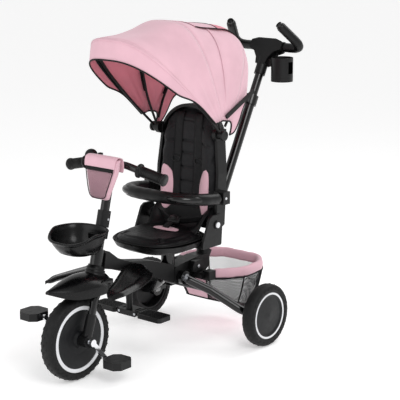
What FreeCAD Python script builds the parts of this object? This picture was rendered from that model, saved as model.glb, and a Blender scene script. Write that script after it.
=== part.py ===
import FreeCAD, Part

import math
import os

# Children's push tricycle. Millimetres. X runs forwards, Y to the rider's left, Z up.
# While modelling, X = 0 is the rear axle. save() then moves the origin to the middle of the length.

V = FreeCAD.Vector
X_AXIS = V(1, 0, 0)
Y_AXIS = V(0, 1, 0)
Z_AXIS = V(0, 0, 1)
OUT = "parts"

# ---- Driving dimensions -------------------------------------------------------------------------
CENTRE_X = 186.0            # middle of the overall length, from the rear axle
FIT = 0.06                  # radial clearance of a running fit
GAP = 0.3                   # clearance between faces that slide past each other

WHEELBASE = 606.0
FRONT_R = 127.0             # 10 inch wheel
FRONT_HALF_W = 24.5
REAR_R = 101.5              # 8 inch wheel
REAR_HALF_W = 21.0
TRACK_HALF = 251.5          # rear wheel centre from the middle plane
AXLE_R = 6.0

STEER_TOP = V(436, 0, 633)  # steering axis, at the handlebar
STEER_LOW = V(566, 0, 127)  # steering axis, level with the front axle
STEM_R = 14.0
BAR_R = 11.0
GRIP_R = 16.0
CRANK_DX = 56.0             # left crank hangs down and slightly back
CRANK_DZ = 66.0
PEDAL_Y = (79.0, 153.0)

SWIVEL_X = 185.0            # seat swivel axis
SWIVEL_Z = 324.0            # top of the fixed swivel plate
SEAT_X = 222.0
SEAT_HALF = 138.0
SEAT_RIM_Z = 362.0
RECLINE = V(117, 0, 404)    # recline hinge
BACK_HALF = 128.0
BACK_TOP_Z = 770.0
BACK_LEAN = -3.5            # degrees, backwards
LEAN_ABOUT = V(100, 0, 350)

HOOD = V(83, 0, 683)        # hinge of the canopy's bows
HOOD_HALF_W = 155.0
HOOD_POWER = 3.2            # roundness of a bow: 2 is an ellipse
CLOTH_T = 2.5
# Canopy outline: bow angle above the horizontal, and its reach from the hinge.
HOOD_REACH = [(35, 454), (41.6, 484), (50, 428), (60, 394), (72, 377), (85, 346), (97, 337),
              (108, 341), (118, 336), (127, 311), (134, 266), (142, 218), (157, 160), (174, 126)]
BOW_FRONT = 41.6
BOW_MID = 72.0
BOW_REAR = 118.0
VISOR_END = 35.0
HOOD_END = 174.0

FOLD = V(150, 0, 220)       # rear frame folding pin
ROD_FOOT = V(-149, 0, 560)  # a point on the push rod's axis
ROD_TILT = -27.9            # degrees about Y
SLEEVE_R = 16.0
ROD_R = 14.0

FOOT_PIN_Y = 32.0           # hinge pin of a lower footrest
FOOT_PIN_Z = 152.0


# ---- Shape helpers ------------------------------------------------------------------------------
def rod_between(a, b, radius):
    """Solid round bar from a to b."""
    return Part.makeCylinder(radius, (b - a).Length, a, b - a)


def disc_y(centre, radius, y0, y1):
    """Round bar along Y through centre's X and Z."""
    return Part.makeCylinder(radius, y1 - y0, V(centre.x, y0, centre.z), Y_AXIS)


def block(x0, x1, y0, y1, z0, z1):
    return Part.makeBox(x1 - x0, y1 - y0, z1 - z0, V(x0, y0, z0))


def mirrored(shape):
    """The same piece on the rider's right side."""
    return shape.mirror(V(0, 0, 0), Y_AXIS)


def both_sides(shape):
    return [shape, mirrored(shape)]


def join(shapes):
    first, rest = shapes[0], shapes[1:]
    return first.fuse(rest).removeSplitter()


def rounded_path(points, radius=None):
    """Straight runs joined by tangent arcs. With no radius each arc is as large as its runs allow."""
    edges = []
    start = points[0]
    for before, corner, after in zip(points, points[1:], points[2:]):
        into = (before - corner).normalize()
        away = (after - corner).normalize()
        turn = math.pi - into.getAngle(away)
        room = 0.45 * min((before - corner).Length, (after - corner).Length)
        cut = room if radius is None else min(room, radius * math.tan(turn / 2))
        bend = cut / math.tan(turn / 2)
        enter = corner + into * cut
        leave = corner + away * cut
        middle_way = (into + away).normalize()
        middle = corner + middle_way * (math.hypot(bend, cut) - bend)
        edges.append(Part.LineSegment(start, enter).toShape())
        edges.append(Part.Arc(enter, middle, leave).toShape())
        start = leave
    edges.append(Part.LineSegment(start, points[-1]).toShape())
    return Part.Wire(edges)


def bent_bar(points, bar_radius, bend=None):
    """Round bar along a rounded path."""
    spine = rounded_path(points, bend)
    ring = Part.makeCircle(bar_radius, points[0], points[1] - points[0])
    return spine.makePipeShell([Part.Wire([ring])], True, False)


def rounded_outline(points, radius):
    """Closed outline with every corner rounded."""
    count = len(points)
    edges = []
    ends = []
    for i, corner in enumerate(points):
        into = (points[i - 1] - corner).normalize()
        away = (points[(i + 1) % count] - corner).normalize()
        half = into.getAngle(away) / 2
        cut = radius / math.tan(half)
        middle_way = (into + away).normalize()
        middle = corner + middle_way * (radius / math.sin(half) - radius)
        ends.append((corner + into * cut, middle, corner + away * cut))
    for i, (enter, middle, leave) in enumerate(ends):
        edges.append(Part.Arc(enter, middle, leave).toShape())
        following = ends[(i + 1) % count][0]
        edges.append(Part.LineSegment(leave, following).toShape())
    return Part.Wire(edges)


def plate_xz(points, y0, y1, radius):
    """Plate in the XZ plane, between two values of Y."""
    wire = rounded_outline([V(x, y0, z) for x, z in points], radius)
    return Part.Face(wire).extrude(V(0, y1 - y0, 0))


def plate_yz(points, x0, x1, radius):
    """Plate in the YZ plane, between two values of X."""
    wire = rounded_outline([V(x0, y, z) for y, z in points], radius)
    return Part.Face(wire).extrude(V(x1 - x0, 0, 0))


def square_ring(centre_x, half, z, corner):
    """Rounded square outline, level, centred on the middle plane."""
    points = [V(centre_x - half, -half, z), V(centre_x + half, -half, z),
              V(centre_x + half, half, z), V(centre_x - half, half, z)]
    return rounded_outline(points, corner)


def turned(profile, centre):
    """Solid turned about the line along Y through centre, from (radius, y) points."""
    points = [V(centre.x, centre.y + y, centre.z + r) for r, y in profile]
    wire = Part.makePolygon(points + points[:1])
    return Part.Face(wire).revolve(centre, Y_AXIS, 360)


def on_steering(z):
    """Point of the steering axis at a height."""
    share = (z - STEER_LOW.z) / (STEER_TOP.z - STEER_LOW.z)
    return STEER_LOW + (STEER_TOP - STEER_LOW) * share


def on_rod(shape):
    """Move a piece from the rod's own upright frame to the leaning push rod."""
    shape.rotate(V(0, 0, 0), Y_AXIS, ROD_TILT)
    shape.translate(ROD_FOOT)
    return shape


def leaned(shape):
    """Lean a piece of the backrest back from upright."""
    shape.rotate(LEAN_ABOUT, Y_AXIS, BACK_LEAN)
    return shape


def save(node, shapes):
    """Write one node, with the origin moved to the middle of the length."""
    solids = [solid for shape in shapes for solid in shape.Solids]
    part = solids[0] if len(solids) == 1 else Part.makeCompound(solids)
    part = part.copy()
    part.translate(V(-CENTRE_X, 0, 0))
    bad = [not solid.isValid() for solid in part.Solids]
    volumes = " ".join("%.1f" % (solid.Volume / 1000) for solid in part.Solids)
    print("%-24s solids %d  cm3 %s%s" % (node, len(solids), volumes, "  NOT VALID" if any(bad) else ""))
    part.exportStep("%s/%s.step" % (OUT, node))


# ---- Main frame ---------------------------------------------------------------------------------
BEAM_HALF_W = 22.0
SPINE_HALF_W = 24.0
FOLD_PIN_R = 8.0
KINGPIN_R = 9.0
HEAD_LOW_Z = 322.0
HEAD_TOP_Z = 380.0
SEAT_POST_R = 22.0
MAIN_TUBE_R = 15.0


def main_tube(radius):
    return rod_between(V(498, 0, 344), V(178, 0, 234), radius)


def seat_post():
    return Part.makeCylinder(SEAT_POST_R, 88, V(SWIVEL_X, 0, 228))


def main_frame():
    """Welded frame: head tube, main tube, seat post and fixed swivel plate with its kingpin."""
    head = rod_between(on_steering(HEAD_LOW_Z), on_steering(HEAD_TOP_Z), 20.0)
    tube, post = main_tube(MAIN_TUBE_R), seat_post()
    plate = Part.makeCylinder(60.0, 8.0, V(SWIVEL_X, 0, SWIVEL_Z - 8.0))
    kingpin = Part.makeCylinder(KINGPIN_R, 14.0, V(SWIVEL_X, 0, SWIVEL_Z))
    bore = rod_between(on_steering(HEAD_LOW_Z - 20), on_steering(HEAD_TOP_Z + 20), STEM_R + FIT)
    hollow = main_tube(MAIN_TUBE_R - 1.5)
    post_hollow = Part.makeCylinder(SEAT_POST_R - 2, 101, V(SWIVEL_X, 0, 210))
    return join([head, tube, post, plate, kingpin]).cut(bore).cut(hollow).cut(post_hollow)


def beam_cover(frame):
    """Moulded cover over the main tube, humped where it meets the head tube."""
    outline = [(178, 264), (281, 300), (388, 321), (440, 343), (478, 372), (492, 368),
               (500, 322), (470, 314), (300, 254), (178, 206)]
    cover = plate_xz(outline, -BEAM_HALF_W, BEAM_HALF_W, 4.0)
    head = rod_between(on_steering(HEAD_LOW_Z - 20), on_steering(HEAD_TOP_Z + 20), 20.0)
    return cover.cut(head).cut(frame)


def rear_spine():
    """Folding knuckle at the rear end of the main tube, with the socket of the push rod."""
    outline = [(177.5, 200), (177.5, 256), (140, 262), (60, 270), (8, 268), (4, 232), (30, 208), (120, 194)]
    spine = plate_xz(outline, -SPINE_HALF_W, SPINE_HALF_W, 8.0)
    socket = on_rod(Part.makeCylinder(24.0, 62, V(0, 0, -378)))
    arm = block(52, 94, SPINE_HALF_W - 2, 66, 206, 226)
    holder = block(48, 80, 58, 86, 200, 230)
    solid = join([spine, socket, arm, mirrored(arm), holder, mirrored(holder)])
    sleeve = on_rod(Part.makeCylinder(SLEEVE_R, 600, V(0, 0, -352)))
    pin = disc_y(FOLD, FOLD_PIN_R, -60, 60)
    return solid.cut(sleeve).cut(pin).cut(main_tube(MAIN_TUBE_R)).cut(seat_post())


def knuckle_cover():
    """Rounded side cover of the knuckle."""
    outline = [(56, 228), (66, 264), (104, 264), (116, 246), (108, 228)]
    return plate_xz(outline, SPINE_HALF_W, SPINE_HALF_W + 22, 7.0)


def hinge_pins():
    """Folding pin with its heads, and the two hinge pins of the lower footrests."""
    fold = disc_y(FOLD, FOLD_PIN_R, -46, 46)
    caps = [disc_y(FOLD, 13.0, 44 + GAP, 50), disc_y(FOLD, 13.0, -50, -44 - GAP)]
    pin = Part.makeCylinder(4.0, 49, V(333, FOOT_PIN_Y, FOOT_PIN_Z), X_AXIS)
    return [join([fold] + caps)] + both_sides(pin)


def upper_footrest(cover):
    """Fixed leaf-shaped footrest beside the main tube, lower at its outer front corner."""
    outline = [(372, 14), (352, 58), (361, 99), (400, 126), (470, 147), (558, 156), (592, 150),
               (603, 130), (586, 112), (530, 84), (468, 50), (452, 14)]
    points = [V(x, y, -16) for x, y in reversed(outline)]
    slab = Part.Face(rounded_outline(points, 6.0)).extrude(V(0, 0, 16))
    slab = slab.makeFillet(4.0, [e for e in slab.Edges if abs(e.BoundBox.ZMin) < 0.01])
    slab.rotate(V(0, 0, 0), X_AXIS, -10.1)
    slab.rotate(V(0, 0, 0), Y_AXIS, 2.7)
    slab.translate(V(0, 0, 338.8))
    return slab.cut(block(300, 620, -40, BEAM_HALF_W, 200, 400)).cut(cover)


def lower_footrest_bracket(frame, cover):
    """Post under the main tube with the hinge ears of the two folding footrests."""
    post = Part.makeCylinder(10.0, 133, V(368, 0, 160))
    body = block(333, 382, -22, 22, 143, 161)
    ears = []
    for x0, x1 in ((333, 343), (372, 382)):
        ears.append(block(x0, x1, 20, FOOT_PIN_Y, 143, 161))
        ears.append(Part.makeCylinder(9.0, x1 - x0, V(x0, FOOT_PIN_Y, FOOT_PIN_Z), X_AXIS))
    solid = join([post, body] + ears + [mirrored(ear) for ear in ears])
    pin = Part.makeCylinder(4.0, 60, V(328, FOOT_PIN_Y, FOOT_PIN_Z), X_AXIS)
    inside = Part.makeCylinder(12.0, 60, V(368, 0, 281))
    return solid.cut(pin).cut(mirrored(pin)).cut(frame).cut(cover).cut(inside)


def lower_footrest():
    """Folding footrest: hinge eye and ribbed platform."""
    eye = Part.makeCylinder(8.8, 28.4, V(343.3, FOOT_PIN_Y, FOOT_PIN_Z), X_AXIS)
    arm = block(343.3, 371.7, FOOT_PIN_Y, 50, 145, 159)
    points = [V(328, 44, 144), V(387, 44, 144), V(387, 140, 144), V(328, 140, 144)]
    pad = Part.Face(rounded_outline(points, 12.0)).extrude(V(0, 0, 15))
    pin = Part.makeCylinder(4.0 + FIT, 60, V(328, FOOT_PIN_Y, FOOT_PIN_Z), X_AXIS)
    return join([eye, arm, pad]).cut(pin)


# ---- Push rod -----------------------------------------------------------------------------------
HUB_BAR_Z = 404.0           # height of the handle's cross bar along the rod
CUP_CENTRE = V(-320, 72, 0)
CUP_R = 37.0
CUP_INNER_R = 34.5
CUP_LOW_Z = 805.0
CUP_TOP_Z = 885.0


def rod_sleeve():
    """Lower tube of the push rod, and the locking collar at its top."""
    sleeve = Part.makeCylinder(SLEEVE_R, 569, V(0, 0, -352))
    bore = Part.makeCylinder(ROD_R + FIT, 560, V(0, 0, -340))
    collar = Part.makeCylinder(21.0, 34, V(0, 0, 190))
    housing = block(14, 30, -10, 10, 192, 220)
    collar = join([collar, housing])
    collar = collar.cut(Part.makeCylinder(SLEEVE_R, 60, V(0, 0, 180)))
    collar = collar.cut(Part.makeCylinder(5.7, 12, V(20, 0, 206), X_AXIS))
    return [on_rod(sleeve.cut(bore)), on_rod(collar)]


def rod_button():
    return on_rod(Part.makeCylinder(5.5, 11, V(24.5, 0, 206), X_AXIS))


def push_rod():
    """Upper tube of the push rod."""
    tube = Part.makeCylinder(ROD_R, 290, V(0, 0, 60))
    return on_rod(tube.cut(Part.makeCylinder(ROD_R - 1.5, 300, V(0, 0, 55))))


def handle_path():
    """Middle line of one side of the handle, in the rod's frame: tip, bend, hub."""
    return [V(110, 100, 441), V(-8, 142, 405), V(0, 0, HUB_BAR_Z)]


def handle_core(radius):
    """Both sides of the handle's middle line as one solid bar."""
    half = bent_bar(handle_path(), radius, 26.0)
    return on_rod(join([half, mirrored(half)]))


def handle_bar():
    """Steel tube inside the hub and the two curled grips."""
    return handle_core(BAR_R).cut(handle_core(BAR_R - 1.5))


def handle_grip():
    """Curled foam grip with a round end."""
    grip = bent_bar(handle_path(), GRIP_R, 26.0)
    tip = Part.makeSphere(GRIP_R, handle_path()[0])
    grip = join([grip, tip]).cut(block(-60, 200, -40, 66, 300, 500))
    return on_rod(grip).cut(handle_core(BAR_R))


def handle_hub():
    """Moulded T-shaped hub that joins the rod and the handle."""
    neck = Part.makeCylinder(19.0, 60, V(0, 0, 300))
    half = [(0, 332), (19, 334), (24, 356), (40, 378), (62, 388), (66, 402), (62, 418), (36, 426), (0, 431)]
    outline = half[1:-1]
    outline = outline + [(-y, z) for y, z in reversed(outline)]
    body = plate_yz(outline, -17, 17, 3.0)
    arms = disc_y(V(0, 0, HUB_BAR_Z), 17.0, -66, 66)
    hub = on_rod(join([neck, body, arms]))
    return hub.cut(on_rod(Part.makeCylinder(ROD_R, 60, V(0, 0, 290)))).cut(handle_core(BAR_R))


def cup_holder(hub):
    """Cup holder with a tall window, clipped to the hub."""
    cup = Part.makeCylinder(CUP_R, CUP_TOP_Z - CUP_LOW_Z, V(CUP_CENTRE.x, CUP_CENTRE.y, CUP_LOW_Z))
    hollow = Part.makeCylinder(CUP_INNER_R, 90, V(CUP_CENTRE.x, CUP_CENTRE.y, CUP_LOW_Z + 3))
    clip = block(-330, -306, 18, CUP_CENTRE.y - CUP_INNER_R + 1, 852, 878)
    window = block(-332, -308, CUP_CENTRE.y + 20, 130, 832, 872)
    return join([cup, clip]).cut(hollow).cut(window).cut(hub)


# ---- Basket -------------------------------------------------------------------------------------
BASKET_RIM = (197.0, 232.0)
BASKET_MID_X = -70.0


def basket_outline(inset, shrink=1.0, level=BASKET_RIM[0], slope=0.0):
    """Plan outline of the basket: narrow at the front, widest near the rear wheels."""
    half = [(66, 62), (26, 108), (-36, 145), (-150, 134), (-205, 84)]
    points = []
    for x, y in half + [(x, -y) for x, y in reversed(half)]:
        px = BASKET_MID_X + (x - BASKET_MID_X) * shrink
        px = px - inset if px > BASKET_MID_X else px + inset
        py = y * shrink - math.copysign(inset, y)
        points.append(V(px, py, level + slope * (px - BASKET_MID_X)))
    return rounded_outline(list(reversed(points)), 22.0)


def basket_rim():
    """Padded band round the top of the basket, open at the front where its ends are held."""
    low, high = BASKET_RIM
    outer = Part.Face(basket_outline(0)).extrude(V(0, 0, high - low))
    inner = Part.Face(basket_outline(12)).extrude(V(0, 0, high - low))
    return outer.cut(inner).cut(block(48, 120, -200, 200, low - 5, high + 5))


def basket_bag():
    """Mesh bag under the rim, open at the top, its floor lower at the rear."""
    bodies = []
    for inset, lift in ((2.0, 0.0), (5.0, 3.0)):
        top = basket_outline(inset)
        floor = basket_outline(inset, 0.76, 84 + lift, 0.34)
        bodies.append(Part.makeLoft([floor, top], True, True))
    return bodies[0].cut(bodies[1])


# ---- Rear folding frame -------------------------------------------------------------------------
ARM_R = 14.0
EYE_Y = (SPINE_HALF_W + GAP, 44.0)
HOUSING_Y = (206.0, 226.0)
BRAKE_PIN = V(-34, 0, 101.5)


REAR_ARM_ROUTE = [V(150, 34, 220), V(94, 104, 176), V(46, 194, 114), V(0, 212, REAR_R)]


def rear_arm():
    """Bent tube from the folding pin to a rear wheel, with its eye and brake housing."""
    route = REAR_ARM_ROUTE
    tube = bent_bar(route, ARM_R, 45.0)
    eye = disc_y(FOLD, 22.0, *EYE_Y)
    housing = disc_y(V(0, 0, REAR_R), 24.0, *HOUSING_Y)
    lug = block(BRAKE_PIN.x - 7, 0, HOUSING_Y[0], 213, REAR_R - 7, REAR_R + 7)
    pin = disc_y(BRAKE_PIN, 3.5, HOUSING_Y[0], 227)
    start = route[0] + (route[1] - route[0]) * 0.3
    end = route[3] + (route[2] - route[3]) * 0.5
    hollow = bent_bar([start, route[1], route[2], end], ARM_R - 2, 45.0)
    arm = join([tube, eye, housing, lug, pin]).cut(hollow)
    arm = arm.cut(disc_y(FOLD, FOLD_PIN_R + FIT, 0, 60)).cut(disc_y(FOLD, 13.5, 44, 51))
    return arm.cut(disc_y(V(0, 0, REAR_R), AXLE_R, 200, 240))


def rear_cross_bar():
    """Tube that ties the two rear arms together under the knuckle."""
    bar = disc_y(V(100, 0, 178), 8.0, -100, 100)
    outside = bent_bar(REAR_ARM_ROUTE, ARM_R, 45.0)
    return bar.cut(outside).cut(mirrored(outside))


def rear_axle():
    return disc_y(V(0, 0, REAR_R), AXLE_R, HOUSING_Y[0], 267)


def brake_lever():
    """Foot lever of a rear brake."""
    eye = disc_y(BRAKE_PIN, 7.0, 213.3, 226)
    arm = block(-78, BRAKE_PIN.x, 213.3, 226, REAR_R - 4, REAR_R + 4)
    pedal = block(-80, -58, 196, 226, REAR_R - 2, REAR_R + 6)
    return join([eye, arm, pedal]).cut(disc_y(BRAKE_PIN, 3.5 + FIT, 200, 240))


def rear_tyre():
    profile = [(75, -17), (86, -21), (96, -20), (100.5, -14), (REAR_R, -8), (REAR_R, 8),
               (100.5, 14), (96, 20), (86, 21), (75, 17)]
    return turned(profile, V(0, TRACK_HALF, REAR_R))


def rear_hub():
    """Closed wheel disc with a blind bore for the stub axle."""
    profile = [(AXLE_R + FIT, -20), (20, -20), (23, 11), (60, 9), (67, 12), (70, -17), (75, -17),
               (75, 17), (68, 18), (60, 14), (20, 17), (0, 19), (0, 16), (AXLE_R + FIT, 16)]
    return turned(profile, V(0, TRACK_HALF, REAR_R))


# ---- Front wheel, cranks and pedals -------------------------------------------------------------
FRONT = V(WHEELBASE, 0, FRONT_R)


def front_tyre():
    profile = [(101, -20), (110, -24.5), (120, -23), (125.5, -16), (FRONT_R, -9), (FRONT_R, 9),
               (125.5, 16), (120, 23), (110, 24.5), (101, 20)]
    return turned(profile, FRONT)


def front_rim():
    profile = [(90, -20), (101, -20), (101, 20), (90, 20)]
    return turned(profile, FRONT)


def front_disc():
    """One of the two dished covers that close the front wheel."""
    profile = [(AXLE_R, 0), (22, 0), (24, 13), (44, 13), (84, 15), (85, 0), (90, 0), (90, 18), (84, 20),
               (44, 17), (26, 18), (22, 26), (AXLE_R, 26)]
    return turned(profile, FRONT).cut(disc_y(FRONT, AXLE_R + FIT, -40, 40))


def crank_set():
    """Pedal axle through the front wheel, with both crank arms and pedal spindles."""
    axle = disc_y(FRONT, AXLE_R, -66, 66)
    arms = []
    for side in (1, -1):
        foot = FRONT + V(-side * CRANK_DX, 0, -side * CRANK_DZ)
        y0, y1 = (66, 76) if side > 0 else (-76, -66)
        along = V(foot.x - FRONT.x, 0, foot.z - FRONT.z)
        across = V(-along.z, 0, along.x).normalize() * 6.5
        root, end = V(FRONT.x, y0, FRONT.z), V(foot.x, y0, foot.z)
        wire = Part.makePolygon([root + across, end + across, end - across, root - across, root + across])
        bar = Part.Face(wire).extrude(V(0, y1 - y0, 0))
        ends = [disc_y(FRONT, 11, y0, y1), disc_y(foot, 7.5, y0, y1)]
        spindle = disc_y(foot, 5, min(side * 76, side * 146), max(side * 76, side * 146))
        arms.append(join([bar, spindle] + ends))
    return join([axle] + arms)


def pedal(side):
    """Flat eight-sided pedal with a bore for its spindle."""
    centre = FRONT + V(-side * CRANK_DX, 0, -side * CRANK_DZ)
    low, high = PEDAL_Y
    y0, y1 = (low, high) if side > 0 else (-high, -low)
    half, clip, mid = 39.0, 17.0, 12.0
    z = centre.z - mid
    outline = [(-half, y0 + clip), (-half + clip, y0), (half - clip, y0), (half, y0 + clip),
               (half, y1 - clip), (half - clip, y1), (-half + clip, y1), (-half, y1 - clip)]
    points = [V(centre.x + x, y, z) for x, y in outline]
    body = Part.Face(Part.makePolygon(points + points[:1])).extrude(V(0, 0, 2 * mid))
    return body.cut(disc_y(centre, 5 + FIT, y0 - 1 if side > 0 else y1 - 69, y0 + 69 if side > 0 else y1 + 1))


# ---- Fork and front end -------------------------------------------------------------------------
LEG_Y = 43.0
LEG_R = 12.0


def steering_stem():
    """Steering tube from the fork crown up to the handlebar."""
    outer = rod_between(on_steering(282), on_steering(626), STEM_R)
    return outer.cut(rod_between(on_steering(275), on_steering(640), STEM_R - 2)).cut(handlebar_core())


def fork_leg_path():
    return [V(524, LEG_Y, 290), V(562, LEG_Y, 254), V(600, LEG_Y, 140)]


def fork_leg(radius):
    return bent_bar(fork_leg_path(), radius, 60.0)


def fork_crown():
    return block(498, 546, -56, 56, 278, 298)


def fork():
    """Fork crown with two bent legs."""
    leg, hollow = fork_leg(LEG_R), fork_leg(LEG_R - 1.5)
    legs = join([leg, mirrored(leg)]).cut(hollow).cut(mirrored(hollow))
    return join([fork_crown(), legs]).cut(rod_between(on_steering(270), on_steering(320), STEM_R))


def fork_end():
    """Moulded leg end that carries the axle."""
    bottom, top = fork_leg_path()[2], fork_leg_path()[1]
    cuff = rod_between(bottom, bottom + (top - bottom) * 0.55, 15.3)
    boss = disc_y(FRONT, 19.0, 29, 57)
    return join([cuff, boss]).cut(fork_leg(LEG_R)).cut(disc_y(FRONT, AXLE_R + FIT, 20, 60))


def fender_section(x, half_w, low, high):
    """One cross-section of the fender: flat underside, arched top."""
    side = low + 0.45 * (high - low)
    edges = [
        Part.LineSegment(V(x, -half_w, low), V(x, half_w, low)).toShape(),
        Part.LineSegment(V(x, half_w, low), V(x, half_w, side)).toShape(),
        Part.Arc(V(x, half_w, side), V(x, 0, high), V(x, -half_w, side)).toShape(),
        Part.LineSegment(V(x, -half_w, side), V(x, -half_w, low)).toShape(),
    ]
    return Part.Wire(edges)


def fender():
    """Beaked mudguard over the front wheel, hollow and open below."""
    sections = [(490, 36, 280, 308), (520, 60, 262, 314), (560, 61, 259, 320), (606, 54, 259, 319),
                (660, 36, 266, 309), (716, 8, 287, 298)]
    outer = Part.makeLoft([fender_section(*s) for s in sections], True, False)
    wall = 3.0
    inner = [(x + (wall if i == 0 else -wall if i == 5 else 0), w - wall, low - 12, high - wall)
             for i, (x, w, low, high) in enumerate(sections)]
    hollow = Part.makeLoft([fender_section(*s) for s in inner], True, False)
    shell = outer.cut(hollow).cut(fork_crown()).cut(fork_leg(LEG_R)).cut(mirrored(fork_leg(LEG_R)))
    shell = shell.cut(rod_between(on_steering(270), on_steering(340), STEM_R + 0.5))
    return shell.cut(rod_between(on_steering(HEAD_LOW_Z - 9), on_steering(HEAD_TOP_Z), 23.0))


def front_tray():
    """Open tray in front of the stem, with the collar that holds it."""
    centre, low, high = 584.0, 384.0, 448.0
    outer = Part.makeLoft([square_ring(centre, 50, low, 26), square_ring(centre, 72, high, 34)], True, True)
    inner = Part.makeLoft([square_ring(centre, 47.5, low + 3, 25), square_ring(centre, 69.6, high + 1, 33)],
                          True, True)
    lip = Part.Face(square_ring(centre, 77, high - 5, 38)).extrude(V(0, 0, 5))
    collar = rod_between(on_steering(414), on_steering(438), 20.0)
    arm = block(490, 545, -16, 16, 412, 434)
    body = join([outer, lip, collar, arm])
    return body.cut(inner).cut(rod_between(on_steering(400), on_steering(460), STEM_R))


def stem_clamps():
    """Height clamp on the stem, and the clamp that holds the handlebar."""
    low = rod_between(on_steering(446), on_steering(494), 20.0).cut(
        rod_between(on_steering(440), on_steering(500), STEM_R))
    top = join([disc_y(STEER_TOP, 18.0, -24, 24), rod_between(on_steering(596), on_steering(630), 18.0)])
    return [low, top.cut(handlebar_core()).cut(rod_between(on_steering(580), on_steering(626), STEM_R))]


def handlebar_core(radius=BAR_R):
    """The handlebar's outer form as a solid bar."""
    route = [V(420, 187, 604), V(433, 100, 624), V(437, 58, 633)]
    route = route + [V(p.x, -p.y, p.z) for p in reversed(route)]
    return bent_bar(route, radius, 90.0)


def handlebar():
    return handlebar_core().cut(handlebar_core(BAR_R - 1.5))


def handlebar_grip():
    """Grip with a flange at its inner end and a rounded outer end."""
    inner, outer = V(432.4, 104, 623.1), V(419.0, 192, 602.8)
    along = (outer - inner).normalize()
    sleeve = rod_between(inner, outer, GRIP_R)
    flange = rod_between(inner, inner + along * 6, 22.0)
    knob = rod_between(outer - along * 7, outer + along * 3, 18.5)
    return join([sleeve, flange, knob]).cut(handlebar_core())


def handlebar_bag():
    """Closed bag that hangs in front of the handlebar, narrower at the bottom."""
    side = plate_xz([(455, 652), (484, 656), (502, 548), (499, 532), (482, 532), (457, 630)], -70, 70, 2.5)
    front = plate_yz([(-62, 658), (-60, 612), (-33, 531), (33, 531), (60, 612), (62, 658)], 440, 520, 8.0)
    return side.common(front)


BELL = V(436, -86, 0)
BELL_PIN = V(416, -84, 0)


def bell():
    """Bell dome on its clamp, with the post of the thumb lever."""
    clamp = rod_between(V(434.5, -94, 625.5), V(435.7, -78, 628.6), 15.0)
    base = Part.makeCylinder(15.0, 9, V(BELL.x, BELL.y, 636))
    dome = Part.makeSphere(20.0, V(BELL.x, BELL.y, 646)).cut(block(400, 470, -120, -50, 620, 645))
    tab = block(BELL_PIN.x - 5, BELL.x, BELL.y - 5, BELL.y + 5, 636, 640)
    post = Part.makeCylinder(2.5, 9, V(BELL_PIN.x, BELL.y, 636))
    return join([clamp, base, dome, tab, post]).cut(handlebar_core())


def bell_lever():
    """Thumb lever of the bell."""
    eye = Part.makeCylinder(5.0, 3.4, V(BELL_PIN.x, BELL.y, 640.3))
    arm = block(BELL_PIN.x - 24, BELL_PIN.x, BELL.y - 3, BELL.y + 3, 640.3, 643.7)
    thumb = block(BELL_PIN.x - 28, BELL_PIN.x - 18, BELL.y - 9, BELL.y + 3, 640.3, 647)
    return join([eye, arm, thumb]).cut(Part.makeCylinder(2.5 + FIT, 20, V(BELL_PIN.x, BELL.y, 632)))


# ---- Seat ---------------------------------------------------------------------------------------
PIN_R = 7.0
PLATE_Y = (138.4, 146.4)
BUTTON_R = 9.0


def swivel_plate():
    """Turning plate under the seat."""
    plate = Part.makeCylinder(64.0, 8.0, V(SWIVEL_X, 0, SWIVEL_Z + GAP))
    return plate.cut(Part.makeCylinder(KINGPIN_R + FIT, 30, V(SWIVEL_X, 0, SWIVEL_Z - 5)))


def seat_body():
    """Outside form of the seat pan."""
    low = SWIVEL_Z + GAP + 8.0
    return Part.makeLoft([square_ring(SEAT_X, 104, low, 80), square_ring(SEAT_X, 128, low + 12, 100),
                          square_ring(SEAT_X, SEAT_HALF, SEAT_RIM_Z, 110)], True, True)


def seat_shell():
    """Saucer-shaped seat pan."""
    low = SWIVEL_Z + GAP + 8.0
    inner = Part.makeLoft([square_ring(SEAT_X, 104, low + 8, 80),
                           square_ring(SEAT_X, SEAT_HALF - 6, SEAT_RIM_Z + 0.1, 104)], True, True)
    kingpin = Part.makeCylinder(KINGPIN_R + FIT, 7, V(SWIVEL_X, 0, low - 1))
    return seat_body().cut(inner).cut(kingpin)


def seat_cushion():
    """Plain solid of the seat pad, resting in the pan."""
    low = SWIVEL_Z + GAP + 16.3
    centre = SEAT_X + 6
    return Part.makeLoft([square_ring(centre, 98, low, 74), square_ring(centre, 120, SEAT_RIM_Z, 92),
                          square_ring(centre, 104, SEAT_RIM_Z + 12, 78)], True, True)


def side_plate():
    """Plate that carries the recline hinge, with its spacer and button ring."""
    outline = [(94, 336), (186, 336), (186, 352), (152, 428), (138, 437), (98, 437), (88, 424)]
    plate = plate_xz(outline, *PLATE_Y, 5.0)
    spacer = disc_y(RECLINE, 15.0, BACK_HALF + GAP, PLATE_Y[0])
    ring = disc_y(RECLINE, 13.5, PLATE_Y[1], 150)
    foot = block(112, 184, 96, PLATE_Y[0], 336, 346)
    solid = join([plate, spacer, ring, foot]).cut(seat_body())
    solid = solid.cut(disc_y(RECLINE, BUTTON_R + 0.3, 142.6, 160))
    return solid.cut(disc_y(RECLINE, PIN_R, 120, 142.6))


def recline_pin():
    return disc_y(RECLINE, PIN_R, 115, 142.4)


def recline_button():
    return disc_y(RECLINE, BUTTON_R, 146.8, 152.5)


# ---- Backrest -----------------------------------------------------------------------------------
SHELL_X = (58.0, 70.0, 100.0)   # back face, pocket floor, front edge
BAR_END = V(112, 147, 488)
SAFETY_BAR_R = 12.0
SAFETY_BEND = 112.0
BAR_DIR = V(math.cos(math.radians(6.6)), 0, math.sin(math.radians(6.6)))


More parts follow.
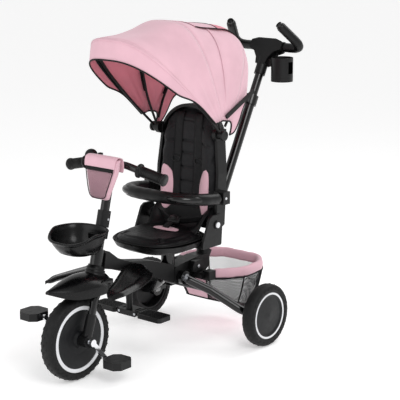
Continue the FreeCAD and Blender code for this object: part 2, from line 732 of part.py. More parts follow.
def back_outline(inset, x):
    """Outline of the backrest: straight sides, narrower shoulders, arched top."""
    base = 380.0 + inset
    half = BACK_HALF - inset
    shoulder = 114.0 - inset
    right = [V(x, -shoulder, 690), V(x, -half, 560), V(x, -half, base + 14), V(x, -half + 14, base)]
    left = [V(p.x, -p.y, p.z) for p in reversed(right)]
    chain = right + left
    edges = [Part.LineSegment(a, b).toShape() for a, b in zip(chain, chain[1:])]
    top = V(x, 0, BACK_TOP_Z - inset)
    edges.append(Part.Arc(chain[-1], top, chain[0]).toShape())
    return Part.Wire(edges)


def back_shell():
    """Moulded backrest shell with hinge ears and the sockets of the safety bar."""
    back, floor, front = SHELL_X
    shell = Part.Face(back_outline(0, back)).extrude(V(front - back, 0, 0))
    pocket = Part.Face(back_outline(10, floor)).extrude(V(front - floor + 5, 0, 0))
    shell = leaned(shell.cut(pocket))
    ear = disc_y(RECLINE, 18.0, 118, BACK_HALF)
    web = block(80, RECLINE.x, 118, BACK_HALF, 388, 422)
    socket = block(76, 109, BACK_HALF - 1, 166, 468, 508)
    pieces = [shell, ear, web, socket, mirrored(ear), mirrored(web), mirrored(socket)]
    solid = join(pieces)
    for side in (1, -1):
        end = V(BAR_END.x, side * BAR_END.y, BAR_END.z)
        solid = solid.cut(rod_between(end - BAR_DIR * 27, end + BAR_DIR * 20, SAFETY_BAR_R + FIT))
    return solid.cut(disc_y(RECLINE, PIN_R + FIT, -200, 200))


def back_pad():
    """Plain solid of the padded backrest cover."""
    pad = Part.Face(back_outline(10.4, SHELL_X[1] + GAP)).extrude(V(26, 0, 0))
    low_bar = disc_y(RECLINE, 19.0, -200, 200)
    return leaned(pad).cut(low_bar)


def harness():
    """Two shoulder straps of the safety harness."""
    strap = block(96.6, 102, 34, 64, 450, 700)
    return both_sides(leaned(strap))


def storage_bag():
    """Plain solid of the zipped bag on the back of the backrest."""
    points = [V(26, -100, 456), V(26, 100, 456), V(26, 100, 604), V(26, -100, 604)]
    wire = rounded_outline(points, 24.0)
    bag = Part.Face(wire).extrude(V(SHELL_X[0] - 26 - GAP, 0, 0))
    return leaned(bag)


def safety_bar_path():
    front = BAR_END + BAR_DIR * 158
    return [BAR_END, front, V(front.x, -front.y, front.z), V(BAR_END.x, -BAR_END.y, BAR_END.z)]


def safety_bar_core(radius):
    """Bar in front of the child, with plug ends that slide out of the backrest."""
    route = safety_bar_path()
    route[0] = route[0] - BAR_DIR * 25
    route[-1] = route[-1] - BAR_DIR * 25
    return bent_bar(route, radius, SAFETY_BEND)


def safety_bar():
    return safety_bar_core(SAFETY_BAR_R).cut(safety_bar_core(SAFETY_BAR_R - 1.5))


def safety_bar_foam():
    return bent_bar(safety_bar_path(), 19.0, SAFETY_BEND).cut(safety_bar_core(SAFETY_BAR_R))


# ---- Canopy -------------------------------------------------------------------------------------
RING_R = 13.0
HOOD_PIN_R = 5.0
BOW_R = 4.0
LANE_MID = (126.4, 134.4)
LANE_FRONT = (135.0, 143.0)


def hood_reach(angle):
    """Reach of the canopy from its hinge at an angle, between the stated outline points."""
    for (a0, r0), (a1, r1) in zip(HOOD_REACH, HOOD_REACH[1:]):
        if a0 <= angle <= a1:
            return r0 + (r1 - r0) * (angle - a0) / (a1 - a0)
    return HOOD_REACH[-1][1]


def hood_point(angle, reach, half_w, turn):
    """Point of a bow: turn runs from -90 degrees on the right to 90 on the left."""
    power = 2 / HOOD_POWER
    c, s = math.cos(math.radians(turn)), math.sin(math.radians(turn))
    out = reach * abs(c) ** power
    y = half_w * math.copysign(abs(s) ** power, s)
    a = math.radians(angle)
    return V(HOOD.x + out * math.cos(a), y, HOOD.z + out * math.sin(a))


def hood_section(angle, reach, limit=84.0):
    """Closed thin section of the cloth along one bow."""
    count = 15
    turns = [-limit + 2 * limit * i / (count - 1) for i in range(count)]
    curves = []
    for inset in (0.0, CLOTH_T):
        curve = Part.BSplineCurve()
        curve.interpolate([hood_point(angle, reach - inset, HOOD_HALF_W - inset, t) for t in turns])
        curves.append(curve)
    outer, inner = curves
    edges = [outer.toShape(), Part.LineSegment(outer.EndPoint, inner.EndPoint).toShape(),
             inner.toShape(), Part.LineSegment(inner.StartPoint, outer.StartPoint).toShape()]
    return Part.Wire(Part.__sortEdges__(edges))


def hood_panel(first, last, gap=0.4):
    """Cloth between two bow angles."""
    stops = [a for a, _ in HOOD_REACH if first < a < last]
    angles = [first + gap] + stops + [last - gap]
    return Part.makeLoft([hood_section(a, hood_reach(a)) for a in angles], True, True)


def hood_bow(angle, lane=None):
    """Plastic bow under the cloth; a hinged bow has a ring at each end."""
    reach = hood_reach(angle) - 8
    half_w = HOOD_HALF_W - 9
    start_y = sum(lane) / 2 - 0.3 if lane else half_w - 8
    a = math.radians(angle)
    half = [(9 if lane else 30, start_y), (0.27 * reach, half_w - 1), (0.62 * reach, half_w * 0.93),
            (0.90 * reach, half_w * 0.70), (reach, half_w * 0.34)]
    half = half + [(out, -y) for out, y in reversed(half)]
    route = [V(HOOD.x + out * math.cos(a), y, HOOD.z + out * math.sin(a)) for out, y in half]
    bow = bent_bar(route, BOW_R)
    if not lane:
        return bow
    ring = disc_y(HOOD, RING_R, *lane)
    bow = join([bow, ring, mirrored(ring)])
    bow = bow.cut(disc_y(HOOD, HOOD_PIN_R + FIT, 100, 160))
    return bow.cut(disc_y(HOOD, HOOD_PIN_R + FIT, -160, -100))


def canopy_mount(shell):
    """Hinge bracket of the canopy on one side of the backrest, and its outside strut."""
    hub = disc_y(HOOD, 19.0, 112, 126)
    foot = block(46, 84, 106, 126, 668, 698)
    pin = disc_y(HOOD, HOOD_PIN_R, 120, 150)
    cap = disc_y(HOOD, 16.0, LANE_FRONT[1] + GAP, 150)
    strut = plate_xz([(88, 738), (93, 750), (-46, 818), (-52, 806)], 158, 163, 2.0)
    return [join([hub, foot, pin, cap]).cut(shell), strut]


# ---- Assembly -----------------------------------------------------------------------------------
def build():
    os.makedirs(OUT, exist_ok=True)

    frame = main_frame()
    cover = beam_cover(frame)
    save("main_frame", [frame])
    save("beam_cover", [cover])
    save("rear_spine", [rear_spine()])
    save("knuckle_covers", both_sides(knuckle_cover()))
    save("hinge_pins", hinge_pins())
    save("upper_footrests", both_sides(upper_footrest(cover)))
    save("footrest_bracket", [lower_footrest_bracket(frame, cover)])
    save("rod_sleeve", rod_sleeve())
    save("basket_rim", [basket_rim()])
    save("basket_bag", [basket_bag()])

    footrest = lower_footrest()
    save("lower_footrest_left", [footrest])
    save("lower_footrest_right", [mirrored(footrest)])

    hub = handle_hub()
    save("push_rod_tube", [push_rod(), handle_bar()])
    save("handle_hub", [hub])
    save("handle_grips", both_sides(handle_grip()))
    save("cup_holder", [cup_holder(hub)])
    save("rod_button", [rod_button()])

    save("rear_arms", both_sides(rear_arm()) + [rear_cross_bar()] + both_sides(rear_axle()))
    lever, tyre, wheel_hub = brake_lever(), rear_tyre(), rear_hub()
    for side, place in (("left", lambda s: s), ("right", mirrored)):
        save("brake_lever_" + side, [place(lever)])
        save("rear_tyre_" + side, [place(tyre)])
        save("rear_hub_" + side, [place(wheel_hub)])

    save("front_tyre", [front_tyre()])
    save("front_rim", [front_rim()])
    save("front_discs", both_sides(front_disc()))
    save("crank_set", [crank_set()])
    save("pedal_left", [pedal(1)])
    save("pedal_right", [pedal(-1)])

    save("steering_stem", [steering_stem()])
    save("fork", [fork()])
    save("fork_ends", both_sides(fork_end()))
    save("fender", [fender()])
    save("front_tray", [front_tray()])
    save("stem_clamps", stem_clamps())
    save("handlebar", [handlebar()])
    save("handlebar_grips", both_sides(handlebar_grip()))
    save("handlebar_bag", [handlebar_bag()])
    save("bell", [bell()])
    save("bell_lever", [bell_lever()])

    save("swivel_plate", [swivel_plate()])
    save("seat_shell", [seat_shell()])
    save("seat_cushion", [seat_cushion()])
    save("side_plates", both_sides(side_plate()) + both_sides(recline_pin()))
    save("recline_button_left", [recline_button()])
    save("recline_button_right", [mirrored(recline_button())])

    shell = back_shell()
    save("back_shell", [shell])
    save("back_pad", [back_pad()])
    save("harness", harness())
    save("storage_bag", [storage_bag()])
    save("safety_bar", [safety_bar()])
    save("safety_bar_foam", [safety_bar_foam()])

    mount = canopy_mount(shell)
    save("canopy_mounts", mount + [mirrored(piece) for piece in mount] + [hood_bow(BOW_REAR)])
    save("canopy_bow_mid", [hood_bow(BOW_MID, LANE_MID)])
    save("canopy_bow_front", [hood_bow(BOW_FRONT, LANE_FRONT)])
    save("canopy_rear", [hood_panel(BOW_REAR, HOOD_END)])
    save("canopy_middle", [hood_panel(BOW_MID, BOW_REAR)])
    save("canopy_front", [hood_panel(BOW_FRONT, BOW_MID)])
    save("canopy_visor", [hood_panel(VISOR_END, BOW_FRONT)])


build()
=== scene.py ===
"""Soft goods, wheels, trim and finishes of a child's push tricycle, built round its frame."""

import math

import bmesh
import bpy
from bpy.props import FloatProperty, FloatVectorProperty, IntProperty, PointerProperty
from mathutils import Matrix, Vector


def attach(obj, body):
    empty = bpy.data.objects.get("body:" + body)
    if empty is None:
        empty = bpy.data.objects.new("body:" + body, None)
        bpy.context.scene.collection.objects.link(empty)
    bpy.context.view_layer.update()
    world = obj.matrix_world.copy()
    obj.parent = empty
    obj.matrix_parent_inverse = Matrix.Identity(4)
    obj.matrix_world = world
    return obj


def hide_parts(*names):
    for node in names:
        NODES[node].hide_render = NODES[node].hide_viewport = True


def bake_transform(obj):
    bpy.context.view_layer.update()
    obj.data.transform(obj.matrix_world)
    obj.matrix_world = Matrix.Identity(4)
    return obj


bl_info = {
    "name": "Child's tricycle",
    "version": (1, 0, 0),
    "blender": (4, 5, 0),
    "location": "View3D > Sidebar > Tricycle",
    "description": "Builds the fabric, foam, wheels and finishes of a child's push tricycle",
    "category": "Add Mesh",
}

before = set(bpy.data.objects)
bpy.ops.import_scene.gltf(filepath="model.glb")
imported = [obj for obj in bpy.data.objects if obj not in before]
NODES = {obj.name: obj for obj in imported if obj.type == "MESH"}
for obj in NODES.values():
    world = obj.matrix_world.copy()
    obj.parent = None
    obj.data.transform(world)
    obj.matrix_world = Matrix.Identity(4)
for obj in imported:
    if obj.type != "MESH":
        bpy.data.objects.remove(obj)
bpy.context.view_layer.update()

MM = 0.001
MIDDLE = 186.0              # the frame's origin, ahead of the rear axle, in mm
STEER_TOP = Vector((436, 0, 633))
STEER_LOW = Vector((566, 0, 127))
ROD_FOOT = Vector((-149, 0, 560))
ROD_TILT = math.radians(-27.9)
LEAN = math.radians(-3.5)
LEAN_ABOUT = Vector((100, 0, 350))
HOOD = Vector((83, 0, 683))
HOOD_HALF_W = 155.0
HOOD_POWER = 3.2
HOOD_REACH = [(35, 454), (41.6, 484), (50, 428), (60, 394), (72, 377), (85, 346), (97, 337), (108, 341),
              (118, 336), (127, 311), (134, 266), (142, 218), (157, 160), (174, 126)]
BOW_FRONT, BOW_MID, BOW_REAR, VISOR_END, HOOD_END = 41.6, 72.0, 118.0, 35.0, 174.0
HOOD_SIDE = 87.5            # turn at which the cloth ends above the hinge, in degrees
FRONT_AXLE = (606, 0, 127)
FRONT_R, FRONT_HALF_W = 127.0, 24.5
REAR_R, REAR_HALF_W = 101.5, 21.0
TRACK_HALF = 251.5          # from the middle plane to the middle of a rear wheel
PAD_HALF_LENGTH, PAD_HALF_WIDTH, PAD_SQUARENESS = 131, 127, 2.6

FLOOR_REACH = 40            # half the studio floor's side, in metres
CAMERA_PLACE, CAMERA_TARGET = (3287.0, 2700.8, 1419.6), (23.68, 0, 446.32)
CAMERA_LENS, CAMERA_SENSOR = 120.19, 36.0


# ---- Placing -------------------------------------------------------------------------------------
def at(x, y, z):
    """Point in metres in the model's frame, from mm measured from the rear axle's ground point."""
    return Vector(((x - MIDDLE) * MM, y * MM, z * MM))


def place(points):
    return [at(*p) for p in points]


def leaned(x, y, z):
    """Point of the leaning backrest, from its upright place, in mm."""
    dx, dz = x - LEAN_ABOUT.x, z - LEAN_ABOUT.z
    c, s = math.cos(LEAN), math.sin(LEAN)
    return Vector((LEAN_ABOUT.x + dx * c + dz * s, y, LEAN_ABOUT.z - dx * s + dz * c))


def on_rod(x, y, z):
    """Point of the leaning push rod, from the rod's own upright frame, in mm."""
    c, s = math.cos(ROD_TILT), math.sin(ROD_TILT)
    return Vector((ROD_FOOT.x + x * c + z * s, y, ROD_FOOT.z - x * s + z * c))


def mirrored(points):
    return [Vector((p[0], -p[1], p[2])) for p in points]


def smooth_step(low, high, value):
    t = min(1.0, max(0.0, (value - low) / (high - low)))
    return t * t * (3 - 2 * t)


def hump(value, centre, width):
    """1 at the centre, falling smoothly to nothing a few widths away."""
    return math.exp(-(((value - centre) / width) ** 2))


def along(points, share):
    """Point at a share of the way along a chain of points."""
    lengths = [(b - a).length for a, b in zip(points, points[1:])]
    left = share * sum(lengths)
    for a, b, length in zip(points, points[1:], lengths):
        if left <= length or b is points[-1]:
            return a.lerp(b, left / max(length, 1e-9))
        left -= length
    return points[-1].copy()


# ---- Meshes --------------------------------------------------------------------------------------
def new_mesh(name, points, faces, materials, smooth=True):
    """Object at the origin with its place in its mesh; its faces keep the order they are given in."""
    mesh = bpy.data.meshes.new(name)
    mesh.from_pydata([tuple(p) for p in points], [], faces)
    for material in materials:
        mesh.materials.append(material)
    obj = bpy.data.objects.new(name, mesh)
    bpy.context.scene.collection.objects.link(obj)
    mesh.shade_smooth() if smooth else mesh.shade_flat()
    return obj


def tidy_mesh(obj, merge=1e-6):
    """Doubles merged, then the normals made to point outwards."""
    work = bmesh.new()
    work.from_mesh(obj.data)
    bmesh.ops.remove_doubles(work, verts=work.verts, dist=merge)
    bmesh.ops.recalc_face_normals(work, faces=work.faces)
    work.to_mesh(obj.data)
    work.free()
    return obj


def grid_sheet(name, rows, materials, wrap=False):
    """Open sheet through rows of points, with a UV map in metres along its two directions."""
    columns = len(rows[0])
    points = [p for row in rows for p in row]
    faces, ends = [], columns if wrap else columns - 1
    for i in range(len(rows) - 1):
        for j in range(ends):
            a, b = i * columns + j, i * columns + (j + 1) % columns
            faces.append((a, b, b + columns, a + columns))
    obj = new_mesh(name, points, faces, materials)
    across, down = [0.0], [0.0]
    middle_row, middle = rows[len(rows) // 2], columns // 2
    for a, b in zip(middle_row, middle_row[1:] + middle_row[:1]):
        across.append(across[-1] + (b - a).length)
    for a, b in zip(rows, rows[1:]):
        down.append(down[-1] + (b[middle] - a[middle]).length)
    layer = obj.data.uv_layers.new(name="cloth")
    for face in obj.data.polygons:
        corner_columns = [obj.data.loops[k].vertex_index % columns for k in face.loop_indices]
        seam = wrap and max(corner_columns) - min(corner_columns) > 1
        for k in face.loop_indices:
            i, j = divmod(obj.data.loops[k].vertex_index, columns)
            j = columns if seam and j == 0 else j
            layer.data[k].uv = (across[j], down[i])
    return obj


def closed_loft(name, rings, materials, smooth=True):
    """Closed solid through rings of points, with a flat cap at each end."""
    count = len(rings[0])
    points = [p for ring in rings for p in ring]
    faces = []
    for i in range(len(rings) - 1):
        for j in range(count):
            a, b = i * count + j, i * count + (j + 1) % count
            faces.append((a, b, b + count, a + count))
    for start, index in ((0, 0), (len(points) - count, len(rings) - 1)):
        middle = sum(rings[index], Vector()) / count
        points.append(middle)
        faces += [(start + j, start + (j + 1) % count, len(points) - 1) for j in range(count)]
    return tidy_mesh(new_mesh(name, points, faces, materials, smooth))


def turned(name, profile, centre, materials, steps=96):
    """Closed ring turned about the line along Y through centre, from (radius, y) points in mm."""
    rows = []
    for k in range(steps):
        a = 2 * math.pi * k / steps
        rows.append([at(centre[0] + r * math.cos(a), centre[1] + y, centre[2] + r * math.sin(a))
                     for r, y in profile])
    count = len(profile)
    faces = []
    for k in range(steps):
        for j in range(count):
            a, b = k * count + j, k * count + (j + 1) % count
            c, d = (k + 1) % steps * count + (j + 1) % count, (k + 1) % steps * count + j
            faces.append((a, b, c, d))
    return tidy_mesh(new_mesh(name, [p for row in rows for p in row], faces, materials))


def settled(obj):
    """The object with its modifiers taken into its mesh."""
    graph = bpy.context.evaluated_depsgraph_get()
    mesh = bpy.data.meshes.new_from_object(obj.evaluated_get(graph), depsgraph=graph)
    name, materials = obj.name, [slot.material for slot in obj.material_slots]
    if obj.type == "MESH":
        obj.modifiers.clear()
        obj.data = mesh
        return obj
    bpy.data.objects.remove(obj)
    made = bpy.data.objects.new(name, mesh)
    bpy.context.scene.collection.objects.link(made)
    if not mesh.materials:
        for material in materials:
            mesh.materials.append(material)
    made.name = name
    return made


def with_thickness(obj, thickness, lining=0, rim=0, offset=-1.0):
    """A wall on a sheet: its inside may take the finish that is lining places further on."""
    wall = obj.modifiers.new("Wall", "SOLIDIFY")
    wall.thickness, wall.offset = thickness, offset
    wall.material_offset, wall.material_offset_rim = lining, rim
    wall.use_even_offset = True
    return settled(obj)


def softened(obj, levels=1):
    """Rounder by subdivision."""
    rounder = obj.modifiers.new("Rounder", "SUBSURF")
    rounder.levels = rounder.render_levels = levels
    return settled(obj)


def edges_rounded(obj, width, segments=2, angle=35):
    """Sharp edges broken as a mould breaks them."""
    bevel = obj.modifiers.new("Edges", "BEVEL")
    bevel.width, bevel.segments = width, segments
    bevel.limit_method, bevel.angle_limit = "ANGLE", math.radians(angle)
    return settled(obj)


def path_curve(name, points, material, radius=0.0, closed=False, bevel_steps=3, order=3, resolution=8):
    """Smooth curve through the run of points, in metres."""
    curve = bpy.data.curves.new(name, "CURVE")
    curve.dimensions = "3D"
    curve.resolution_u = resolution
    curve.bevel_depth, curve.bevel_resolution = radius, bevel_steps
    curve.use_fill_caps = True
    spline = curve.splines.new("NURBS")
    spline.points.add(len(points) - 1)
    for target, p in zip(spline.points, points):
        target.co = (*p, 1)
    spline.order_u = min(order, len(points))
    spline.use_endpoint_u = not closed
    spline.use_cyclic_u = closed
    if material:
        curve.materials.append(material)
    obj = bpy.data.objects.new(name, curve)
    bpy.context.scene.collection.objects.link(obj)
    return obj


def tube(name, points, radius, material, closed=False, bevel_steps=3, order=3, resolution=8):
    return settled(path_curve(name, points, material, radius, closed, bevel_steps, order, resolution))


def joined(name, objects):
    """Several finished meshes as one piece."""
    slots = []
    points, faces, face_slots, uv_rows = [], [], [], []
    for obj in objects:
        start = len(points)
        places = []
        for material in obj.data.materials:
            if material not in slots:
                slots.append(material)
            places.append(slots.index(material))
        points += [tuple(v.co) for v in obj.data.vertices]
        layer = obj.data.uv_layers.active
        for face in obj.data.polygons:
            faces.append([start + v for v in face.vertices])
            face_slots.append(places[face.material_index] if places else 0)
            uv_rows += [tuple(layer.data[k].uv) if layer else (0.0, 0.0) for k in face.loop_indices]
    made = new_mesh(name, points, faces, slots)
    made.data.polygons.foreach_set("material_index", face_slots)
    layer = made.data.uv_layers.new(name="cloth")
    for loop, uv in zip(layer.data, uv_rows):
        loop.uv = uv
    smooth = [face.use_smooth for obj in objects for face in obj.data.polygons]
    made.data.polygons.foreach_set("use_smooth", smooth)
    for obj in objects:
        bpy.data.objects.remove(obj)
    return made


def both_sides(name, build):
    """The left piece that build makes and its mirror image, as one piece."""
    left = build()
    right = left.copy()
    right.data = left.data.copy()
    bpy.context.scene.collection.objects.link(right)
    right.data.transform(Matrix.Diagonal((1, -1, 1, 1)))
    right.data.flip_normals()
    return joined(name, [left, right])


def flat_strap(name, points, across, width, thickness, materials, steps=24):
    """Strap along a run of points, in metres; across is its direction of width."""
    line = path_curve(name + "_line", points, None, order=4, resolution=6)
    spline_mesh = settled(line)
    run = [v.co.copy() for v in spline_mesh.data.vertices]
    bpy.data.objects.remove(spline_mesh)
    across = Vector(across).normalized()
    rows = []
    for i in range(steps + 1):
        p = along(run, i / steps)
        rows.append([p + across * width * (k / 4 - 0.5) for k in range(5)])
    return with_thickness(grid_sheet(name, rows, materials), thickness, offset=0.0)


# ---- Repeats along paths and surfaces, made with Geometry Nodes ----------------------------------
def add_node(tree, kind, inputs=None, **settings):
    """A node with its settings; an input takes a value or the socket that feeds it."""
    node = tree.nodes.new(kind)
    for name, value in settings.items():
        setattr(node, name, value)
    for name, value in (inputs or {}).items():
        socket = node.inputs[name]
        if isinstance(value, bpy.types.NodeSocket):
            tree.links.new(value, socket)
        else:
            socket.default_value = value
    return node


def new_tree(name, sizes):
    """Empty Geometry Nodes tree with named inputs for its sizes, and its input node."""
    tree = bpy.data.node_groups.new(name, "GeometryNodeTree")
    tree.interface.new_socket(name="Geometry", in_out="INPUT", socket_type="NodeSocketGeometry")
    for label, kind in sizes:
        tree.interface.new_socket(name=label, in_out="INPUT", socket_type="NodeSocket" + kind)
    tree.interface.new_socket(name="Material", in_out="INPUT", socket_type="NodeSocketMaterial")
    tree.interface.new_socket(name="Geometry", in_out="OUTPUT", socket_type="NodeSocketGeometry")
    return tree, add_node(tree, "NodeGroupInput").outputs


def close_tree(tree, result, sizes):
    """Instances made real and given their material."""
    real = add_node(tree, "GeometryNodeRealizeInstances", {"Geometry": result})
    painted = add_node(tree, "GeometryNodeSetMaterial",
                       {"Geometry": real.outputs[0], "Material": sizes["Material"]})
    add_node(tree, "NodeGroupOutput", {"Geometry": painted.outputs[0]})
    return tree


def beads_tree():
    """Short round pieces at even steps along a path: ribs of a grip, teeth of a zip, stitches."""
    tree, sizes = new_tree("beads_along_path",
                           [("Spacing", "Float"), ("Radius", "Float"), ("Length", "Float"),
                                                ("Sides", "Int")])
    points = add_node(tree, "GeometryNodeCurveToPoints",
                      {"Curve": sizes["Geometry"], "Length": sizes["Spacing"]},
                      mode="LENGTH")
    bead = add_node(tree, "GeometryNodeMeshCylinder", {"Vertices": sizes["Sides"], "Radius": sizes["Radius"],
                                                       "Depth": sizes["Length"]})
    laid = add_node(tree, "GeometryNodeInstanceOnPoints", {"Points": points.outputs["Points"],
                                                           "Instance": bead.outputs["Mesh"],
                                                           "Rotation": points.outputs["Rotation"]})
    return close_tree(tree, laid.outputs[0], sizes)


def blocks_tree():
    """Blocks at even steps round a wheel: the tread of a tyre."""
    tree, sizes = new_tree("blocks_round_wheel", [("Radius", "Float"), ("Count", "Int"), ("Size", "Vector"),
                                                  ("Offset", "Vector"), ("Twist", "Vector"),
                                                  ("Start", "Float")])
    ring = add_node(tree, "GeometryNodeCurvePrimitiveCircle", {"Radius": sizes["Radius"], "Resolution": 128})
    points = add_node(tree, "GeometryNodeCurveToPoints",
                      {"Curve": ring.outputs["Curve"], "Count": sizes["Count"]},
                      mode="COUNT")
    block = add_node(tree, "GeometryNodeMeshCube", {"Size": sizes["Size"]})
    twisted = add_node(tree, "GeometryNodeTransform", {"Geometry": block.outputs["Mesh"],
                                                       "Translation": sizes["Offset"],
                                                       "Rotation": sizes["Twist"]})
    laid = add_node(tree, "GeometryNodeInstanceOnPoints", {"Points": points.outputs["Points"],
                                                           "Instance": twisted.outputs["Geometry"],
                                                           "Rotation": points.outputs["Rotation"]})
    upright = add_node(tree, "ShaderNodeCombineXYZ", {"X": math.pi / 2, "Y": sizes["Start"]})
    stood = add_node(tree, "GeometryNodeTransform", {"Geometry": laid.outputs[0],
                                                     "Rotation": upright.outputs["Vector"]})
    return close_tree(tree, stood.outputs["Geometry"], sizes)


def net_tree():
    """Net: a thread along every edge of a mesh."""
    tree, sizes = new_tree("net_on_surface", [("Thread", "Float")])
    lines = add_node(tree, "GeometryNodeMeshToCurve", {"Mesh": sizes["Geometry"]})
    thread = add_node(tree, "GeometryNodeCurvePrimitiveCircle", {"Radius": sizes["Thread"], "Resolution": 3})
    threads = add_node(tree, "GeometryNodeCurveToMesh", {"Curve": lines.outputs[0],
                                                         "Profile Curve": thread.outputs["Curve"]})
    return close_tree(tree, threads.outputs[0], sizes)


def heads_tree():
    """Round heads standing on points, each along its point's own facing direction."""
    tree, sizes = new_tree("heads_on_points", [("Radius", "Float"), ("Height", "Float"), ("Socket", "Float")])
    facing = add_node(tree, "GeometryNodeInputNamedAttribute", {"Name": "facing"}, data_type="FLOAT_VECTOR")
    turn = add_node(tree, "FunctionNodeAlignRotationToVector", {"Vector": facing.outputs["Attribute"]},
                    axis="Z")
    rim = add_node(tree, "GeometryNodeMeshCylinder", {"Vertices": 20, "Radius": sizes["Radius"],
                                                      "Depth": sizes["Height"]})
    taper = add_node(tree, "ShaderNodeMath", {0: sizes["Radius"], 1: 0.8}, operation="MULTIPLY")
    crown = add_node(tree, "GeometryNodeMeshCone", {"Vertices": 20, "Radius Top": sizes["Socket"],
                                                    "Radius Bottom": taper.outputs[0],
                                                    "Depth": sizes["Height"]})
    both = add_node(tree, "GeometryNodeJoinGeometry")
    tree.links.new(rim.outputs["Mesh"], both.inputs[0])
    tree.links.new(crown.outputs["Mesh"], both.inputs[0])
    laid = add_node(tree, "GeometryNodeInstanceOnPoints", {"Points": sizes["Geometry"],
                                                           "Instance": both.outputs[0],
                                                           "Rotation": turn.outputs["Rotation"]})
    return close_tree(tree, laid.outputs[0], sizes)


TREES = {}


def repeated(obj, build, name=None, **values):
    """The object put through a Geometry Nodes tree, as a plain mesh."""
    if build not in TREES:
        TREES[build] = build()
    tree = TREES[build]
    maker = obj.modifiers.new("Repeats", "NODES")
    maker.node_group = tree
    labels = {item.name: item.identifier for item in tree.interface.items_tree if item.in_out == "INPUT"}
    for label, value in values.items():
        maker[labels[label]] = value
    made = settled(obj)
    if name:
        made.name = name
    return made


# ---- Sizes and colours that a user would change --------------------------------------------------
def linear(code):
    """Linear colour from a six-figure sRGB code."""
    parts = [int(code[i:i + 2], 16) / 255 for i in (0, 2, 4)]
    return tuple(p / 12.92 if p <= 0.04045 else ((p + 0.055) / 1.055) ** 2.4 for p in parts)


def colour(name, description, code):
    return FloatVectorProperty(name=name, description=description, subtype="COLOR", size=3, min=0, max=1,
                               default=linear(code))


def length(name, description, default_mm):
    return FloatProperty(name=name, description=description, default=default_mm * MM, min=0, unit="LENGTH",
                         subtype="DISTANCE", precision=4)


class TricycleColours(bpy.types.PropertyGroup):
    """Colours of the cloth, paint and plastic."""
    cloth: colour("Cloth", "Polyester of the canopy, bags and basket rim", "D9AEBA")
    # Painted shade: the lining is a darker rose than the cloth, standing in for the shade inside the canopy.
    lining: colour("Lining", "Darker inside of the canopy", "E08D9C")
    seat_cloth: colour("Seat cloth", "Padded cover of the backrest", "1B1B1D")
    paint: colour("Paint", "Enamel of the steel tubes", "060607")
    plastic: colour("Plastic", "Moulded polypropylene", "0C0C0D")
    disc: colour("Wheel disc", "Nylon wheel discs", "121315")
    ring: colour("Wheel ring", "Pale ring between tyre and disc", "E4E5E8")
    tyre: colour("Tyre", "Foamed EVA tread", "0D0D0E")


class TricycleSoftSizes(bpy.types.PropertyGroup):
    """Sizes of the soft goods."""
    cloth_wall: length("Cloth", "Thickness of the lined cloth", 1.6)
    piping: length("Piping", "Radius of the corded edging", 2.6)
    stitch: length("Stitch", "Distance from stitch to stitch", 5.0)
    net_thread: length("Net thread", "Radius of the net's thread", 0.42)
    voxel: length("Padding grain", "Mesh size while the padding is inflated", 5.0)
    puff: length("Padding rise", "Furthest that inflation may move the cover", 6.0)
    strap: length("Strap", "Width of the harness webbing", 34.0)


class TricycleWheelSizes(bpy.types.PropertyGroup):
    """Tread and trim of the wheels."""
    front_blocks: IntProperty(name="Front blocks",
                              description="Tread blocks on each shoulder of the front tyre",
                              default=34, min=8)
    rear_blocks: IntProperty(name="Rear blocks", description="Tread blocks on each shoulder of a rear tyre",
                             default=28, min=8)
    block_height: length("Block height", "How far a tread block stands up", 1.6)
    grip_rib: length("Grip rib", "Distance from rib to rib on the grips", 6.0)


def sizes(group):
    return getattr(bpy.context.scene, "tricycle_" + group)


# ---- Finishes ------------------------------------------------------------------------------------
FINISHES = {}


def grain(mm):
    """Noise scale whose features are about this many mm across."""
    return 1 / (mm * MM)


def bands(mm):
    """Wave scale whose bands repeat every so many mm."""
    return 2 * math.pi / 20 / (mm * MM)


def new_finish(name, base, roughness, constants, spread=0.15, tint_mm=40.0, rough_spread=0.08, rough_mm=12.0):
    """Surface with a little variation of colour and gloss: its material, tree, shader and place node."""
    material = bpy.data.materials.new(name)
    material.use_nodes = True
    tree = material.node_tree
    tree.nodes.clear()
    shader = add_node(tree, "ShaderNodeBsdfPrincipled")
    for label, value in constants.items():
        shader.inputs[label].default_value = value
    out = add_node(tree, "ShaderNodeOutputMaterial")
    tree.links.new(shader.outputs[0], out.inputs["Surface"])
    space = add_node(tree, "ShaderNodeTexCoord")
    cloud = add_node(tree, "ShaderNodeTexNoise", {"Vector": space.outputs["Object"], "Scale": grain(tint_mm),
                                                  "Detail": 3.0})
    tint = add_node(tree, "ShaderNodeValToRGB", {"Fac": cloud.outputs["Fac"]})
    tint.color_ramp.elements[0].position, tint.color_ramp.elements[1].position = 0.3, 0.7
    tint.color_ramp.elements[0].color = (*[c * (1 - spread) for c in base], 1)
    tint.color_ramp.elements[1].color = (*[min(1, c * (1 + spread)) for c in base], 1)
    tree.links.new(tint.outputs["Color"], shader.inputs["Base Color"])
    wear = add_node(tree, "ShaderNodeTexNoise", {"Vector": space.outputs["Object"], "Scale": grain(rough_mm),
                                                 "Detail": 4.0})
    gloss = add_node(tree, "ShaderNodeMapRange",
                     {"Value": wear.outputs["Fac"], "From Min": 0.3, "From Max": 0.7,
                                                  "To Min": roughness - rough_spread,
                                                  "To Max": roughness + rough_spread})
    tree.links.new(gloss.outputs[0], shader.inputs["Roughness"])
    return material, tree, shader, space


def raise_surface(tree, shader, height, depth_mm, strength=0.6):
    bump = add_node(tree, "ShaderNodeBump",
                    {"Height": height, "Distance": depth_mm * MM, "Strength": strength})
    tree.links.new(bump.outputs["Normal"], shader.inputs["Normal"])


